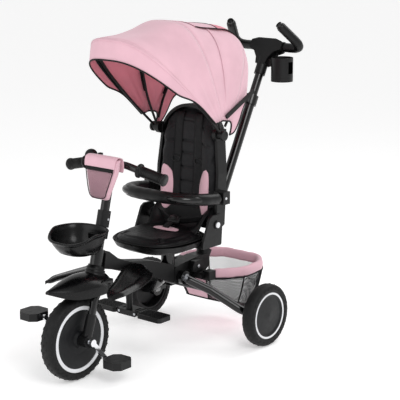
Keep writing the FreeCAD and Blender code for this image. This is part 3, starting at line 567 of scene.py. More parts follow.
def grained(name, base, roughness, grain_mm, depth_mm, spread=0.12, rough_spread=0.06, **constants):
    """Moulded or painted surface with an even fine grain."""
    labels = {key.replace("_", " "): value for key, value in constants.items()}
    material, tree, shader, space = new_finish(name, base, roughness, labels, spread,
                                               rough_spread=rough_spread)
    fine = add_node(tree, "ShaderNodeTexNoise", {"Vector": space.outputs["Object"], "Scale": grain(grain_mm),
                                                 "Detail": 2.0, "Roughness": 0.6})
    raise_surface(tree, shader, fine.outputs["Fac"], depth_mm)
    return material


def hide_grained(name, base, roughness, cell_mm, depth_mm, **constants):
    """Coated cloth or foam skin with small leather-like cells."""
    labels = {key.replace("_", " "): value for key, value in constants.items()}
    material, tree, shader, space = new_finish(name, base, roughness, labels)
    cells = add_node(tree, "ShaderNodeTexVoronoi",
                     {"Vector": space.outputs["Object"], "Scale": grain(cell_mm),
                                                    "Randomness": 0.9}, feature="DISTANCE_TO_EDGE")
    soft = add_node(tree, "ShaderNodeMapRange", {"Value": cells.outputs["Distance"], "From Min": 0.0,
                                                 "From Max": 0.25})
    raise_surface(tree, shader, soft.outputs[0], depth_mm)
    return material


def woven(name, base, roughness, thread_mm, depth_mm, plan="uv", spread=0.06, **constants):
    """Plain weave: one set of threads over and under the other. The plan is the plane the cloth lies in."""
    labels = {key.replace("_", " "): value for key, value in constants.items()}
    material, tree, shader, space = new_finish(name, base, roughness, labels, spread, tint_mm=90.0)
    source = space.outputs["UV"] if plan == "uv" else space.outputs["Object"]
    first, second = {"uv": ("X", "Y"), "xy": ("X", "Y"), "yz": ("Y", "Z"), "xz": ("X", "Z")}[plan]
    threads = []
    for axis in (first, second):
        threads.append(add_node(tree, "ShaderNodeTexWave", {"Vector": source, "Scale": bands(thread_mm)},
                                wave_type="BANDS", bands_direction=axis))
    cloth = add_node(tree, "ShaderNodeMath", {0: threads[0].outputs["Fac"], 1: threads[1].outputs["Fac"]},
                     operation="MAXIMUM")
    raise_surface(tree, shader, cloth.outputs[0], depth_mm, 0.5)
    return material


def brushed(name, base, roughness, constants, scratch_mm=0.6):
    """Bright metal with fine scratches drawn along it."""
    material, tree, shader, space = new_finish(name, base, roughness, constants, 0.05)
    longer = add_node(tree, "ShaderNodeMapping", {"Vector": space.outputs["Object"], "Scale": (1, 1, 0.06)})
    lines = add_node(tree, "ShaderNodeTexNoise", {"Vector": longer.outputs[0], "Scale": grain(scratch_mm),
                                                  "Detail": 2.0})
    raise_surface(tree, shader, lines.outputs["Fac"], 0.05, 0.25)
    return material


def finish(name):
    """The finish of that name, made the first time it is asked for."""
    if name not in FINISHES:
        FINISHES[name] = FINISH_MAKERS[name]()
    return FINISHES[name]


def tone(name):
    return tuple(getattr(sizes("colours"), name))


FINISH_MAKERS = {
    # Stove-enamelled steel tube: hard, black, with a faint orange peel in its highlights.
    "enamelled_steel_black": lambda: grained("enamelled_steel_black", tone("paint"), 0.2, 2.2, 0.03,
                                             rough_spread=0.05, Specular_IOR_Level=0.35,
                                             Coat_Weight=0.25, Coat_Roughness=0.06),
    # Chrome-plated steel: the bright reflections of the cranks.
    "chrome_plated_steel": lambda: brushed("chrome_plated_steel", linear("E6E7EA"), 0.12, {"Metallic": 1.0}),
    # Zinc-plated steel: the duller grey of pins, screws and rivets.
    "zinc_plated_steel": lambda: brushed("zinc_plated_steel", linear("B9BBBF"), 0.36, {"Metallic": 1.0}),
    # Injection-moulded polypropylene with a spark-eroded grain: dull black with a soft sheen.
    "moulded_pp_black": lambda: grained("moulded_pp_black", tone("plastic"), 0.42, 0.9, 0.06,
                                         Specular_IOR_Level=0.3),
    # Polished-mould ABS: darker and shinier, for the tray, mudguard and footrests.
    "satin_abs_black": lambda: grained("satin_abs_black", linear("060607"), 0.26, 3.0, 0.03,
                                       rough_spread=0.05,
                                        Specular_IOR_Level=0.25),
    # Nylon wheel disc: dark grey, dull.
    "nylon_dark_grey": lambda: grained("nylon_dark_grey", tone("disc"), 0.46, 1.1, 0.06,
                                       Specular_IOR_Level=0.3),
    # Pale moulded polypropylene: the ring inside each tyre.
    "moulded_pp_pale": lambda: grained("moulded_pp_pale", tone("ring"), 0.4, 1.6, 0.03, spread=0.03),
    # Foamed EVA rubber: matt, with shallow pores.
    "foamed_eva_black": lambda: grained("foamed_eva_black", tone("tyre"), 0.6, 0.8, 0.12,
                                        Specular_IOR_Level=0.3),
    # Foam sleeve in a coated skin: fine leather cells and a soft highlight.
    "coated_foam_black": lambda: hide_grained("coated_foam_black", linear("0A0A0B"), 0.36, 2.2, 0.1,
                                              Specular_IOR_Level=0.27),
    # Coated seat pad: shinier, with larger cells.
    "coated_cloth_black": lambda: hide_grained("coated_cloth_black", linear("08080A"), 0.4, 2.6, 0.12,
                                               Specular_IOR_Level=0.2),
    # Oxford polyester, dyed pink: the weave is 0.6 mm and is drawn at 2.4 mm so that it shows.
    "oxford_polyester_pink": lambda: woven("oxford_polyester_pink", tone("cloth"), 0.78, 2.4, 0.12,
                                           Sheen_Weight=0.25, Sheen_Roughness=0.5),
    "oxford_polyester_pink_solid": lambda: woven("oxford_polyester_pink_solid", tone("cloth"), 0.78, 2.4,
                                                 0.12,
                                                 plan="yz", Sheen_Weight=0.25, Sheen_Roughness=0.5),
    # Thin polyester lining in a deeper rose: painted shade, darker than the outside cloth to stand in for the
    # shade inside the canopy.
    "lining_polyester_rose": lambda: woven("lining_polyester_rose", tone("lining"), 0.72, 2.0, 0.08),
    # Black oxford polyester over padding.
    "oxford_polyester_black": lambda: woven("oxford_polyester_black", tone("seat_cloth"), 0.66, 2.4, 0.14,
                                            plan="yz", Sheen_Weight=0.04, Sheen_Roughness=0.5,
                                            Specular_IOR_Level=0.22),
    # Narrow woven webbing: ribs across the strap, drawn at 2 mm.
    "webbing_black": lambda: woven("webbing_black", linear("0C0C0E"), 0.6, 2.0, 0.2, Specular_IOR_Level=0.25),
    # Corded edging in black polyester.
    "corded_edging_black": lambda: grained("corded_edging_black", linear("09090A"), 0.62, 1.0, 0.1,
                                                Specular_IOR_Level=0.25),
    # Knitted net thread.
    "net_thread_black": lambda: grained("net_thread_black", linear("1C1C1F"), 0.6, 1.0, 0.05,
                                             Specular_IOR_Level=0.25),
    # Finer knitted net in a lighter grey, so that the pink behind it shows through.
    "net_thread_grey": lambda: grained("net_thread_grey", linear("8F6F79"), 0.6, 1.0, 0.05,
                                       Specular_IOR_Level=0.25),
    # White sewing thread and pale marks.
    "pale_trim": lambda: grained("pale_trim", linear("D9DADD"), 0.42, 1.2, 0.03, spread=0.04),
}

NODE_FINISHES = {
    "enamelled_steel_black": ("main_frame", "rear_arms", "rod_sleeve", "push_rod_tube", "steering_stem",
                              "fork",
                              "handlebar", "safety_bar"),
    "chrome_plated_steel": ("crank_set",),
    "zinc_plated_steel": ("hinge_pins",),
    "moulded_pp_black": ("beam_cover", "rear_spine", "knuckle_covers", "footrest_bracket",
                         "lower_footrest_left",
                         "lower_footrest_right", "handle_hub", "cup_holder", "rod_button", "brake_lever_left",
                         "brake_lever_right", "pedal_left", "pedal_right", "stem_clamps", "bell",
                         "bell_lever",
                         "swivel_plate", "seat_shell", "side_plates", "back_shell", "canopy_mounts",
                         "canopy_bow_mid", "canopy_bow_front", "fork_ends"),
    "satin_abs_black": ("fender", "front_tray", "upper_footrests"),
    "nylon_dark_grey": ("rear_hub_left", "rear_hub_right", "front_discs"),
    "moulded_pp_pale": ("front_rim", "recline_button_left", "recline_button_right"),
}


def ridden(obj, body, slot, *nodes):
    """The piece put on its body, with the frame pieces that it stands for hidden; the slot argument is not
    used.
    """
    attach(obj, body)
    if nodes:
        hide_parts(*nodes)
    return obj


# ---- Canopy --------------------------------------------------------------------------------------
def hood_reach(angle):
    """Reach of the canopy at an angle, on a smooth line through the outline points."""
    stops = HOOD_REACH
    for i in range(len(stops) - 1):
        if stops[i][0] <= angle <= stops[i + 1][0] + 1e-9:
            (a0, r0), (a1, r1) = stops[i], stops[i + 1]
            before, after = stops[max(0, i - 1)], stops[min(len(stops) - 1, i + 2)]
            m0 = (r1 - before[1]) / (a1 - before[0]) if i and i != 1 else (r1 - r0) / (a1 - a0)
            m1 = (after[1] - r0) / (after[0] - a0) if i + 2 < len(stops) and i else (r1 - r0) / (a1 - a0)
            t, h = (angle - a0) / (a1 - a0), a1 - a0
            return ((2 * t ** 3 - 3 * t ** 2 + 1) * r0 + (t ** 3 - 2 * t ** 2 + t) * h * m0
                    + (-2 * t ** 3 + 3 * t ** 2) * r1 + (t ** 3 - t ** 2) * h * m1)
    return stops[-1][1]


def hood_point(angle, turn, drop=0.0):
    """Point of the canopy in metres: turn runs from -90 degrees on the right to 90 on the left."""
    power = 2 / HOOD_POWER
    c, s = math.cos(math.radians(turn)), math.sin(math.radians(turn))
    out = (hood_reach(angle) - drop) * abs(c) ** power
    y = (HOOD_HALF_W - drop) * math.copysign(abs(s) ** power, s)
    a = math.radians(angle)
    return at(HOOD.x + out * math.cos(a), y, HOOD.z + out * math.sin(a))


def hood_turns(count=65, limit=HOOD_SIDE):
    """Turn angles closer together where a bow bends most."""
    turns = []
    for k in range(count):
        u = -1 + 2 * k / (count - 1)
        turns.append(limit * (0.55 * u + 0.45 * math.copysign(abs(u) ** 1.7, u)))
    return turns


def slack(angle, turn, first, last):
    """How far the cloth sinks between two bows, in mm, with small folds near its lower corners."""
    share = (angle - first) / (last - first)
    middle = math.sin(math.pi * share)
    sink = 2.2 * middle * math.cos(math.radians(turn)) ** 0.5
    fold = 1.1 * middle * smooth_step(45, 80, abs(turn)) * math.sin(share * 21 + turn * 0.11)
    return sink + fold


def rear_angle(turn, share=1.0):
    """The rear panel's angle at a share of its depth: cut high across the back, with a tail at each side."""
    end = 140 + (HOOD_END - 140) * smooth_step(68, 84, abs(turn))
    return BOW_REAR + (end - BOW_REAR) * share


def rear_rows(count):
    return [[hood_point(rear_angle(t, i / count), t,
                        2.0 * math.sin(math.pi * i / count)) for t in hood_turns()]
            for i in range(count + 1)]


def hood_rows(first, last, count):
    rows = []
    for i in range(count + 1):
        angle = first + (last - first) * i / count
        rows.append([hood_point(angle, t, slack(angle, t, first, last)) for t in hood_turns()])
    return rows


def visor_angle(turn, share=1.0):
    """The visor's angle at a share of its depth: it runs out into the front bow at both sides."""
    return BOW_FRONT + (VISOR_END - BOW_FRONT) * share * smooth_step(82, 64, abs(turn))


def visor_rows(count):
    turns = hood_turns(57, 81.0)
    return [[hood_point(visor_angle(t, 1 - i / count), t) for t in turns] for i in range(count + 1)]


def hood_cloth(name, rows):
    """One lined panel of the canopy."""
    # The inside faces take the lining's darker rose, a painted shade.
    obj = grid_sheet(name, rows, [finish("oxford_polyester_pink"), finish("lining_polyester_rose")])
    return with_thickness(obj, sizes("soft").cloth_wall, lining=1)


def follow_bows(obj):
    """Cloth between two bows: its place is taken into its mesh; it does not turn with the bows."""
    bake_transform(obj)


def canopy_edging():
    """Black corded edging of each body's cloth: round the front opening, the back and both sides."""
    radius = sizes("soft").piping
    parts = {}
    angles = [BOW_REAR + (HOOD_END - BOW_REAR) * k / 8 for k in range(9)]
    rear = [[hood_point(a, turn, 1.0) for a in angles] for turn in (-HOOD_SIDE, HOOD_SIDE)]
    rear.append([hood_point(rear_angle(t), t, 1.0) for t in hood_turns()])
    front = [[hood_point(visor_angle(t), t, 1.0) for t in hood_turns(61)]]
    for body, lines in (("backrest", rear), ("canopy_front", front)):
        parts[body] = [tube("edging", line, radius, finish("corded_edging_black"), order=3) for line in lines]
    return {body: joined("canopy_edging_" + body, pieces) for body, pieces in parts.items()}


def side_edging(name, first, last):
    lines = []
    for turn in (-HOOD_SIDE, HOOD_SIDE):
        angles = [first + (last - first) * k / 10 for k in range(11)]
        lines.append([hood_point(a, turn, 1.0) for a in angles])
    return joined(name, [tube("edging", line, sizes("soft").piping, finish("corded_edging_black"))
                         for line in lines])


def bow_seam(name, angle):
    """Folded seam over a bow, with a row of stitches at each side of it."""
    fold_rows = []
    for offset, lift in ((-0.8, -0.2), (-0.4, 0.5), (0.4, 0.5), (0.8, -0.2)):
        fold_rows.append([hood_point(angle + offset, t, -lift) for t in hood_turns()])
    fold = grid_sheet(name + "_fold", fold_rows, [finish("oxford_polyester_pink")])
    fold = with_thickness(fold, 0.6 * MM)
    parts = [fold]
    for offset in (-0.7, 0.7):
        line = path_curve("stitch_line", [hood_point(angle + offset, t, -0.4) for t in hood_turns(41, 80.0)],
                          None)
        parts.append(repeated(line, beads_tree, Spacing=sizes("soft").stitch, Radius=0.3 * MM,
                              Length=3.0 * MM,
                              Sides=5, Material=finish("oxford_polyester_pink_solid")))
    return joined(name, parts)


def inner_ribs(name, angle, body_turns=80.0):
    """Black tape sleeve that holds a bow on the inside of the cloth."""
    rows = []
    for offset, drop in ((-1.8, 3.4), (-0.6, 4.6), (0.6, 4.6), (1.8, 3.4)):
        rows.append([hood_point(angle + offset, t, drop) for t in hood_turns(61, body_turns)])
    return with_thickness(grid_sheet(name, rows, [finish("corded_edging_black")]), 0.8 * MM)


def window_flap():
    """Flap over the window in the roof: pink in front, behind in the lining's darker rose as painted shade,
    piped in black.
    """
    parts = []
    # The rear half takes the lining's darker rose: painted shade.
    for first, last, cloth in ((80, 98, "oxford_polyester_pink"), (98, 116, "lining_polyester_rose")):
        rows = []
        for i in range(11):
            angle = first + (last - first) * i / 10
            lift = 1.8 + 2.6 * math.sin(math.pi * (angle - 80) / 36)
            rows.append([hood_point(angle, t, -lift) for t in [-20 + 2 * j for j in range(21)]])
        flap = grid_sheet("flap", rows, [finish(cloth), finish("lining_polyester_rose")])
        parts.append(with_thickness(flap, 1.4 * MM, lining=1))
        for line in ([row[0] for row in rows], [row[-1] for row in rows], rows[-1]):
            parts.append(tube("flap_edge", [p.copy() for p in line], 1.7 * MM, finish("corded_edging_black")))
    return joined("canopy_window_flap", parts)


class TRICYCLE_OT_canopy(bpy.types.Operator):
    """Lined cloth of the canopy in four panels over its bows, with edging, seams and the window flap"""
    bl_idname = "tricycle.canopy"
    bl_label = "Canopy"

    def execute(self, context):
        panels = [
            ("canopy_cloth_rear", rear_rows(16), (0.70, 0.31), 0.067, "canopy_rear"),
            ("canopy_cloth_middle", hood_rows(BOW_MID, BOW_REAR, 16), (0.76, 0.29), 0.143, "canopy_middle"),
            ("canopy_cloth_front", hood_rows(BOW_FRONT, BOW_MID, 14), (0.92, 0.25), 0.131, "canopy_front"),
            ("canopy_cloth_visor", visor_rows(5), (0.82, 0.062), 0.031, "canopy_visor"),
        ]
        made = {}
        for name, rows, flat, area, node in panels:
            made[name] = hood_cloth(name, rows)
            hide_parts(node)
        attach(made["canopy_cloth_rear"], "backrest")
        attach(made["canopy_cloth_visor"], "canopy_front")
        follow_bows(made["canopy_cloth_middle"])
        follow_bows(made["canopy_cloth_front"])
        for body, edging in canopy_edging().items():
            ridden(edging, body, "black_fabric")
        middle = side_edging("canopy_edging_middle", BOW_MID, BOW_REAR)
        front = side_edging("canopy_edging_side", BOW_FRONT, BOW_MID)
        follow_bows(middle)
        follow_bows(front)
        for name, angle, body in (("front", BOW_FRONT, "canopy_front"), ("mid", BOW_MID, "canopy_mid"),
                                  ("rear", BOW_REAR, "backrest")):
            ridden(inner_ribs("canopy_tape_" + name, angle), body, "black_fabric")
        ridden(bow_seam("canopy_seam_front", BOW_FRONT), "canopy_front", "pink_fabric")
        roof_seam = bow_seam("canopy_seam_roof", 90.0)
        follow_bows(roof_seam)
        flap = window_flap()
        follow_bows(flap)
        return {"FINISHED"}


# ---- Padding -------------------------------------------------------------------------------------
def inflated(obj, pressure=4.0):
    """Padding by cloth simulation: a fine skin is blown up gently, and no point may move too far."""
    soft = sizes("soft")
    skin = obj.modifiers.new("Skin", "REMESH")
    skin.mode, skin.voxel_size = "VOXEL", soft.voxel
    obj = settled(obj)
    start = [v.co.copy() for v in obj.data.vertices]
    cloth = obj.modifiers.new("Cloth", "CLOTH")
    cloth.settings.use_pressure = True
    cloth.settings.uniform_pressure_force = pressure
    cloth.settings.effector_weights.gravity = 0
    cloth.settings.quality = 5
    cloth.settings.tension_stiffness = cloth.settings.compression_stiffness = 25
    cloth.settings.mass = 0.2
    cloth.collision_settings.use_collision = False
    cloth.point_cache.frame_start, cloth.point_cache.frame_end = 1, 20
    scene = bpy.context.scene
    for number in range(1, 21):
        scene.frame_set(number)
    blown = settled(obj)
    for v, origin in zip(blown.data.vertices, start):
        move = v.co - origin
        if move.length > soft.puff:
            v.co = origin + move.normalized() * soft.puff
    scene.frame_set(1)
    blown.data.shade_smooth()
    return softened(blown)


def pad_outline(count, half_x, half_y, power):
    """Rounded plan outline, in mm: power 2 is an ellipse and more is squarer."""
    points = []
    for k in range(count):
        a = 2 * math.pi * k / count
        c, s = math.cos(a), math.sin(a)
        points.append((half_x * math.copysign(abs(c) ** (2 / power), c),
                       half_y * math.copysign(abs(s) ** (2 / power), s)))
    return points


def seat_pad_shape():
    """Crowned round pad, flat below where it rests in the pan, its side pulled in at the seam."""
    rings = []
    for share, z in ((0.25, 341.5), (0.6, 341.5), (0.78, 342.5), (0.88, 348), (0.955, 356), (0.99, 363),
                     (1.0, 368), (0.985, 372.5), (0.93, 377), (0.8, 380), (0.6, 381), (0.35, 381),
                     (0.12, 380.5)):
        ring = []
        for x, y in pad_outline(48, PAD_HALF_LENGTH * share, PAD_HALF_WIDTH * share, PAD_SQUARENESS):
            dish = -5.0 * hump(math.hypot(x, y), 0, 90) if z > 370 else 0.0
            front = 2.5 * smooth_step(40, 125, x) if z > 370 else 0.0
            ring.append(at(226 + x, y, z + dish + front))
        rings.append(ring)
    return closed_loft("seat_pad", rings, [finish("coated_cloth_black")])


def seat_pad_seams(obj):
    """Sewn seam round the crown, and a shallow hollow for each leg."""
    for v in obj.data.vertices:
        x, y, z = v.co.x / MM + MIDDLE - 226, v.co.y / MM, v.co.z / MM
        if z < 366:
            continue
        power = PAD_SQUARENESS
        radius = ((abs(x) / PAD_HALF_LENGTH) ** power + (abs(y) / PAD_HALF_WIDTH) ** power) ** (1 / power)
        v.co.z -= 1.6 * MM * hump(radius, 0.83, 0.022)
        v.co.z -= 3.0 * MM * smooth_step(-20, 110, x) * (hump(y, 52, 34) + hump(y, -52, 34))
    return obj


class TRICYCLE_OT_seat_pad(bpy.types.Operator):
    """Padded seat cushion with its seam, piping and the pink accent at its rear"""
    bl_idname = "tricycle.seat_pad"
    bl_label = "Seat pad"

    def execute(self, context):
        pad = seat_pad_seams(inflated(seat_pad_shape(), 3.0))
        ridden(pad, "seat", "black_fabric", "seat_cushion")
        welt = [at(226 + x, y, 366.5) for x, y in pad_outline(40, 132.5, 128.5, 2.6)]
        ridden(tube("seat_pad_piping", welt, 2.2 * MM, finish("corded_edging_black"), closed=True), "seat",
               "black_fabric")
        rows = []
        for i in range(17):
            u = -1 + i / 8
            half = 27 * max(0.0, 1 - u * u) ** 0.6 + 0.2
            rows.append([at(192 + half * (k / 4 - 1), 62 * u,
                            383.5 + 4.5 * math.sin(math.pi * k / 8) * (1 - u * u) - 3 * abs(u) ** 3)
                         for k in range(9)])
        accent = with_thickness(grid_sheet("seat_accent", rows, [finish("oxford_polyester_pink")]), 3 * MM)
        accent = softened(accent)
        ridden(accent, "seat", "pink_fabric")
        edge = [row[0] + Vector((0, 0, 1 * MM)) for row in rows] + [row[-1] + Vector((0, 0, 1 * MM))
                                                                     for row in reversed(rows)]
        ridden(tube("seat_accent_piping", edge, 2.0 * MM, finish("corded_edging_black"), closed=True), "seat",
               "black_fabric")
        profile = [(176, 376), (156, 381), (138, 386), (122, 394), (110, 406), (102, 420), (97, 436),
                   (94, 452)]
        rows = []
        for i, (x, z) in enumerate(profile):
            row = []
            for k in range(21):
                u = -1 + k / 10
                rise = 34 * smooth_step(0.55, 1.0, abs(u)) * smooth_step(0, 3, i) * smooth_step(7.5, 4, i)
                row.append(at(x + 0.5 * rise, (104 + 6 * smooth_step(0, 4, i)) * u, z + rise * 0.8))
            rows.append(row)
        bridge = with_thickness(grid_sheet("seat_bridge", rows, [finish("coated_cloth_black")]), 9 * MM)
        bridge = softened(bridge)
        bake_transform(bridge)
        return {"FINISHED"}


# ---- Backrest ------------------------------------------------------------------------------------
BACK_HALF, BACK_TOP, BACK_BASE = 117.0, 758.5, 391.0


def back_half_width(z):
    """Half width of the padded cover at an upright height."""
    if z < 404:
        return BACK_HALF - 13 + 13 * math.sin(math.pi / 2 * (z - BACK_BASE) / 13)
    if z < 560:
        return BACK_HALF
    if z < 690:
        return BACK_HALF + (104 - BACK_HALF) * (z - 560) / 130
    return max(2.0, 104 * math.sqrt(max(0.0, 1 - ((z - 690) / (BACK_TOP - 690)) ** 2.4)))


def back_face(y, z):
    """Depth of the padded front above the shell's floor, in mm, from its bolsters and channels."""
    wide = back_half_width(z)
    share = abs(y) / wide
    edge = smooth_step(1.0, 0.9, share) * smooth_step(BACK_TOP, BACK_TOP - 16, z) * smooth_step(
        BACK_BASE, BACK_BASE + 14, z)
    head = smooth_step(640, 668, z)
    bolster = 17 * smooth_step(0.42, 0.74, share) * (1 - 0.4 * head) * smooth_step(735, 640, z)
    bolster += 9 * smooth_step(0.45, 0.8, share) * head * smooth_step(BACK_TOP - 4, 690, z)
    centre = 15 + 5 * hump(y, 0, 60)
    return 4 + edge * (centre + bolster)


def back_seams(y, z):
    """Depth of the sewn channels at a place on the padded front, in mm."""
    groove = 0.0
    inside = smooth_step(56, 50, abs(y))
    for level in (476, 520, 566, 612):
        groove += 5.0 * hump(z, level, 3.4) * inside
        groove -= 1.2 * hump(z, level + 20, 13) * inside
    groove += 5.5 * hump(abs(y), 54, 3.2) * smooth_step(660, 640, z) * smooth_step(430, 450, z)
    groove += 5.0 * hump(z, 652 - 0.0012 * y * y, 3.6) * smooth_step(100, 88, abs(y))
    groove += 3.0 * hump(abs(y), 26, 2.6) * smooth_step(645, 630, z) * smooth_step(450, 470, z)
    arch = 718 - 0.006 * y * y
    groove += 3.2 * hump(z, arch, 3.0) * smooth_step(80, 66, abs(y))
    return groove


def back_pad_shape():
    """Closed padded cover in the backrest's pocket."""
    levels = [BACK_BASE + (BACK_TOP - BACK_BASE) * k / 60 for k in range(61)]
    rings = []
    for z in levels:
        z = min(z, BACK_TOP - 0.6)
        wide = back_half_width(z)
        front = [-1 + 2 * j / 40 for j in range(41)]
        ring = [at(*leaned(71 + back_face(u * wide, z), u * wide, z)) for u in front]
        ring += [at(*leaned(71, -u * wide, z)) for u in front[1:-1]]
        rings.append(ring)
    return closed_loft("back_pad_cover", rings, [finish("oxford_polyester_black")])


def upright(co):
    """Upright (y, z) in mm of a leaned point in metres."""
    x, z = co.x / MM + MIDDLE - LEAN_ABOUT.x, co.z / MM - LEAN_ABOUT.z
    c, s = math.cos(-LEAN), math.sin(-LEAN)
    return co.y / MM, LEAN_ABOUT.z - x * s + z * c


def sew(obj, depth_at, direction, front_from):
    """Sewn channels pressed into a padded cover along a direction."""
    for v in obj.data.vertices:
        y, z = upright(v.co)
        if v.normal.dot(direction) > front_from:
            v.co -= direction * depth_at(y, z) * MM
    return obj


def crescent(name, side, low, high, inner, outer, bulge):
    """Pink pad beside the child's waist: straight outside, curved inside, with black piping."""
    rows, edge_in, edge_out = [], [], []
    for i in range(25):
        t = i / 24
        z = low + (high - low) * t
        belly = max(0.0, math.sin(math.pi * t)) ** 0.6
        y1 = outer - 10 * (1 - belly) ** 2
        y0 = y1 - (outer - inner) * belly - 0.3
        row = []
        for k in range(9):
            y = side * (y0 + (y1 - y0) * k / 8)
            lift = bulge * math.sin(math.pi * k / 8) ** 0.7 * belly
            row.append(at(*leaned(72.5 + back_face(y, z) + lift, y, z)))
        rows.append(row)
        edge_in.append(row[0] + Vector((0.5 * MM, 0, 0)))
        edge_out.append(row[-1] + Vector((0.5 * MM, 0, 0)))
    pad = grid_sheet(name, rows, [finish("oxford_polyester_pink")])
    if side > 0:
        pad.data.flip_normals()
    pad = with_thickness(pad, 4 * MM)
    welt = tube(name + "_welt", edge_in + edge_out[::-1], 2.6 * MM, finish("corded_edging_black"),
                closed=True)
    return joined(name, [pad, welt])


class TRICYCLE_OT_back_pad(bpy.types.Operator):
    """Padded cover of the backrest with bolsters, sewn channels, pink crescents and rows of stitches"""
    bl_idname = "tricycle.back_pad"
    bl_label = "Backrest pad"

    def execute(self, context):
        forward = Vector((math.cos(LEAN), 0, -math.sin(LEAN)))
        pad = inflated(back_pad_shape(), 2.5)
        pad = sew(pad, back_seams, forward, 0.15)
        ridden(pad, "backrest", "black_fabric", "back_pad")
        for label, side in (("left", 1), ("right", -1)):
            ridden(crescent("waist_pad_" + label, side, 416, 568, 46, 98, 6), "backrest", "pink_fabric")
        seams = []
        for y0, z0, y1, z1 in ((-60, 640, -60, 446), (60, 640, 60, 446), (-88, 660, 88, 660)):
            line = [at(*leaned(73.5 + back_face(y0 + (y1 - y0) * k / 20, z0 + (z1 - z0) * k / 20),
                               y0 + (y1 - y0) * k / 20, z0 + (z1 - z0) * k / 20)) for k in range(21)]
            seams.append(repeated(path_curve("stitches", line, None), beads_tree,
                                  Spacing=sizes("soft").stitch,
                                  Radius=0.45 * MM, Length=3.0 * MM, Sides=5,
                                  Material=finish("webbing_black")))
        ridden(joined("back_pad_stitches", seams), "backrest", "black_fabric")
        return {"FINISHED"}


# ---- Harness -------------------------------------------------------------------------------------
def strap_on_back(name, route, width):
    """Webbing that follows the padded front through upright (y, z, lift) points."""
    points = [at(*leaned(74 + back_face(y, z) + lift, y, z)) for y, z, lift in route]
    return flat_strap(name, points, (0, 1, 0), width, 1.6 * MM, [finish("webbing_black")], steps=40)


def buckle():
    """Five-point buckle: a rounded body with a press button."""
    centre = at(150, 0, 404)
    parts = []
    for half_x, half_y, low, high, power in ((16, 24, -9, 7, 3.5), (8, 11, 6, 10.5, 2.4)):
        rings = []
        for share, z in ((0.7, low), (0.96, low + 1.5), (1.0, (low + high) / 2), (0.94, high - 1.5),
                         (0.6, high)):
            rings.append([centre + Vector((x * MM * 0.86 + 0.5 * z * MM, y * MM, z * MM - 0.5 * x * MM))
                          for x, y in pad_outline(28, half_x * share, half_y * share, power)])
        parts.append(closed_loft("buckle_part", rings, [finish("moulded_pp_black")]))
    return joined("harness_buckle", parts)


class TRICYCLE_OT_harness(bpy.types.Operator):
    """Shoulder straps with their adjusters, waist belt, crotch strap and buckle"""
    bl_idname = "tricycle.harness"
    bl_label = "Harness"

    def execute(self, context):
        straps = []
        for side in (1, -1):
            route = [(side * 38, 744, -5), (side * 38, 737, 3), (side * 39, 716, 5), (side * 42, 650, 5),
                     (side * 45, 580, 5), (side * 46, 520, 6), (side * 44, 470, 7), (side * 40, 432, 5)]
            straps.append(strap_on_back("shoulder_strap", route, sizes("soft").strap))
            adjuster = [at(*leaned(74 + back_face(side * 46, 590 + dz) + 7, side * 46 + dy, 590 + dz))
                        for dy, dz in ((-16, -9), (16, -9), (16, 9), (-16, 9))]
            straps.append(tube("adjuster", adjuster, 2.2 * MM, finish("moulded_pp_black"), closed=True))
        webbing = joined("shoulder_straps", straps)
        ridden(webbing, "backrest", "black_fabric", "harness")
        lower = []
        for side in (1, -1):
            lower.append(flat_strap("waist_belt", place([(121, side * 92, 417), (128, side * 70, 412),
                                                         (140, side * 40, 406), (150, side * 18, 404)]),
                                    (0.35, 0, 0.94), 22 * MM, 1.6 * MM, [finish("webbing_black")]))
        lower.append(flat_strap("crotch_strap", place([(206, 0, 378), (196, 0, 390), (180, 0, 398),
                                                       (158, 0, 402)]), (0, 1, 0), 24 * MM, 1.6 * MM,
                                [finish("webbing_black")]))
        lower.append(buckle())
        ridden(joined("waist_harness", lower), "seat", "black_fabric")
        return {"FINISHED"}


# ---- Bags and basket -----------------------------------------------------------------------------
def box_bag(name, corners, depth_vector, bulge, materials):
    """Soft closed bag: a panel through four corners in metres, swelling along the depth vector."""
    a, b, c, d = corners
    rings = []
    for share, shrink in ((0.0, 0.985), (0.12, 1.0), (0.5, 1.0), (0.82, 0.99), (0.95, 0.93), (1.0, 0.80)):
        middle = (a + b + c + d) / 4
        ring = []
        for start, end in ((a, b), (b, c), (c, d), (d, a)):
            for k in range(10):
                t = k / 10
                p = start.lerp(end, t)
                corner = 1 - 0.045 * (2 * t - 1) ** 6
                p = middle + (p - middle) * shrink * corner
                swell = bulge * math.sin(math.pi * t) * math.sin(math.pi * min(1, share * 0.9 + 0.1))
                ring.append(p + (p - middle).normalized() * swell + depth_vector * share)
        rings.append(ring)
    return closed_loft(name, rings, materials)


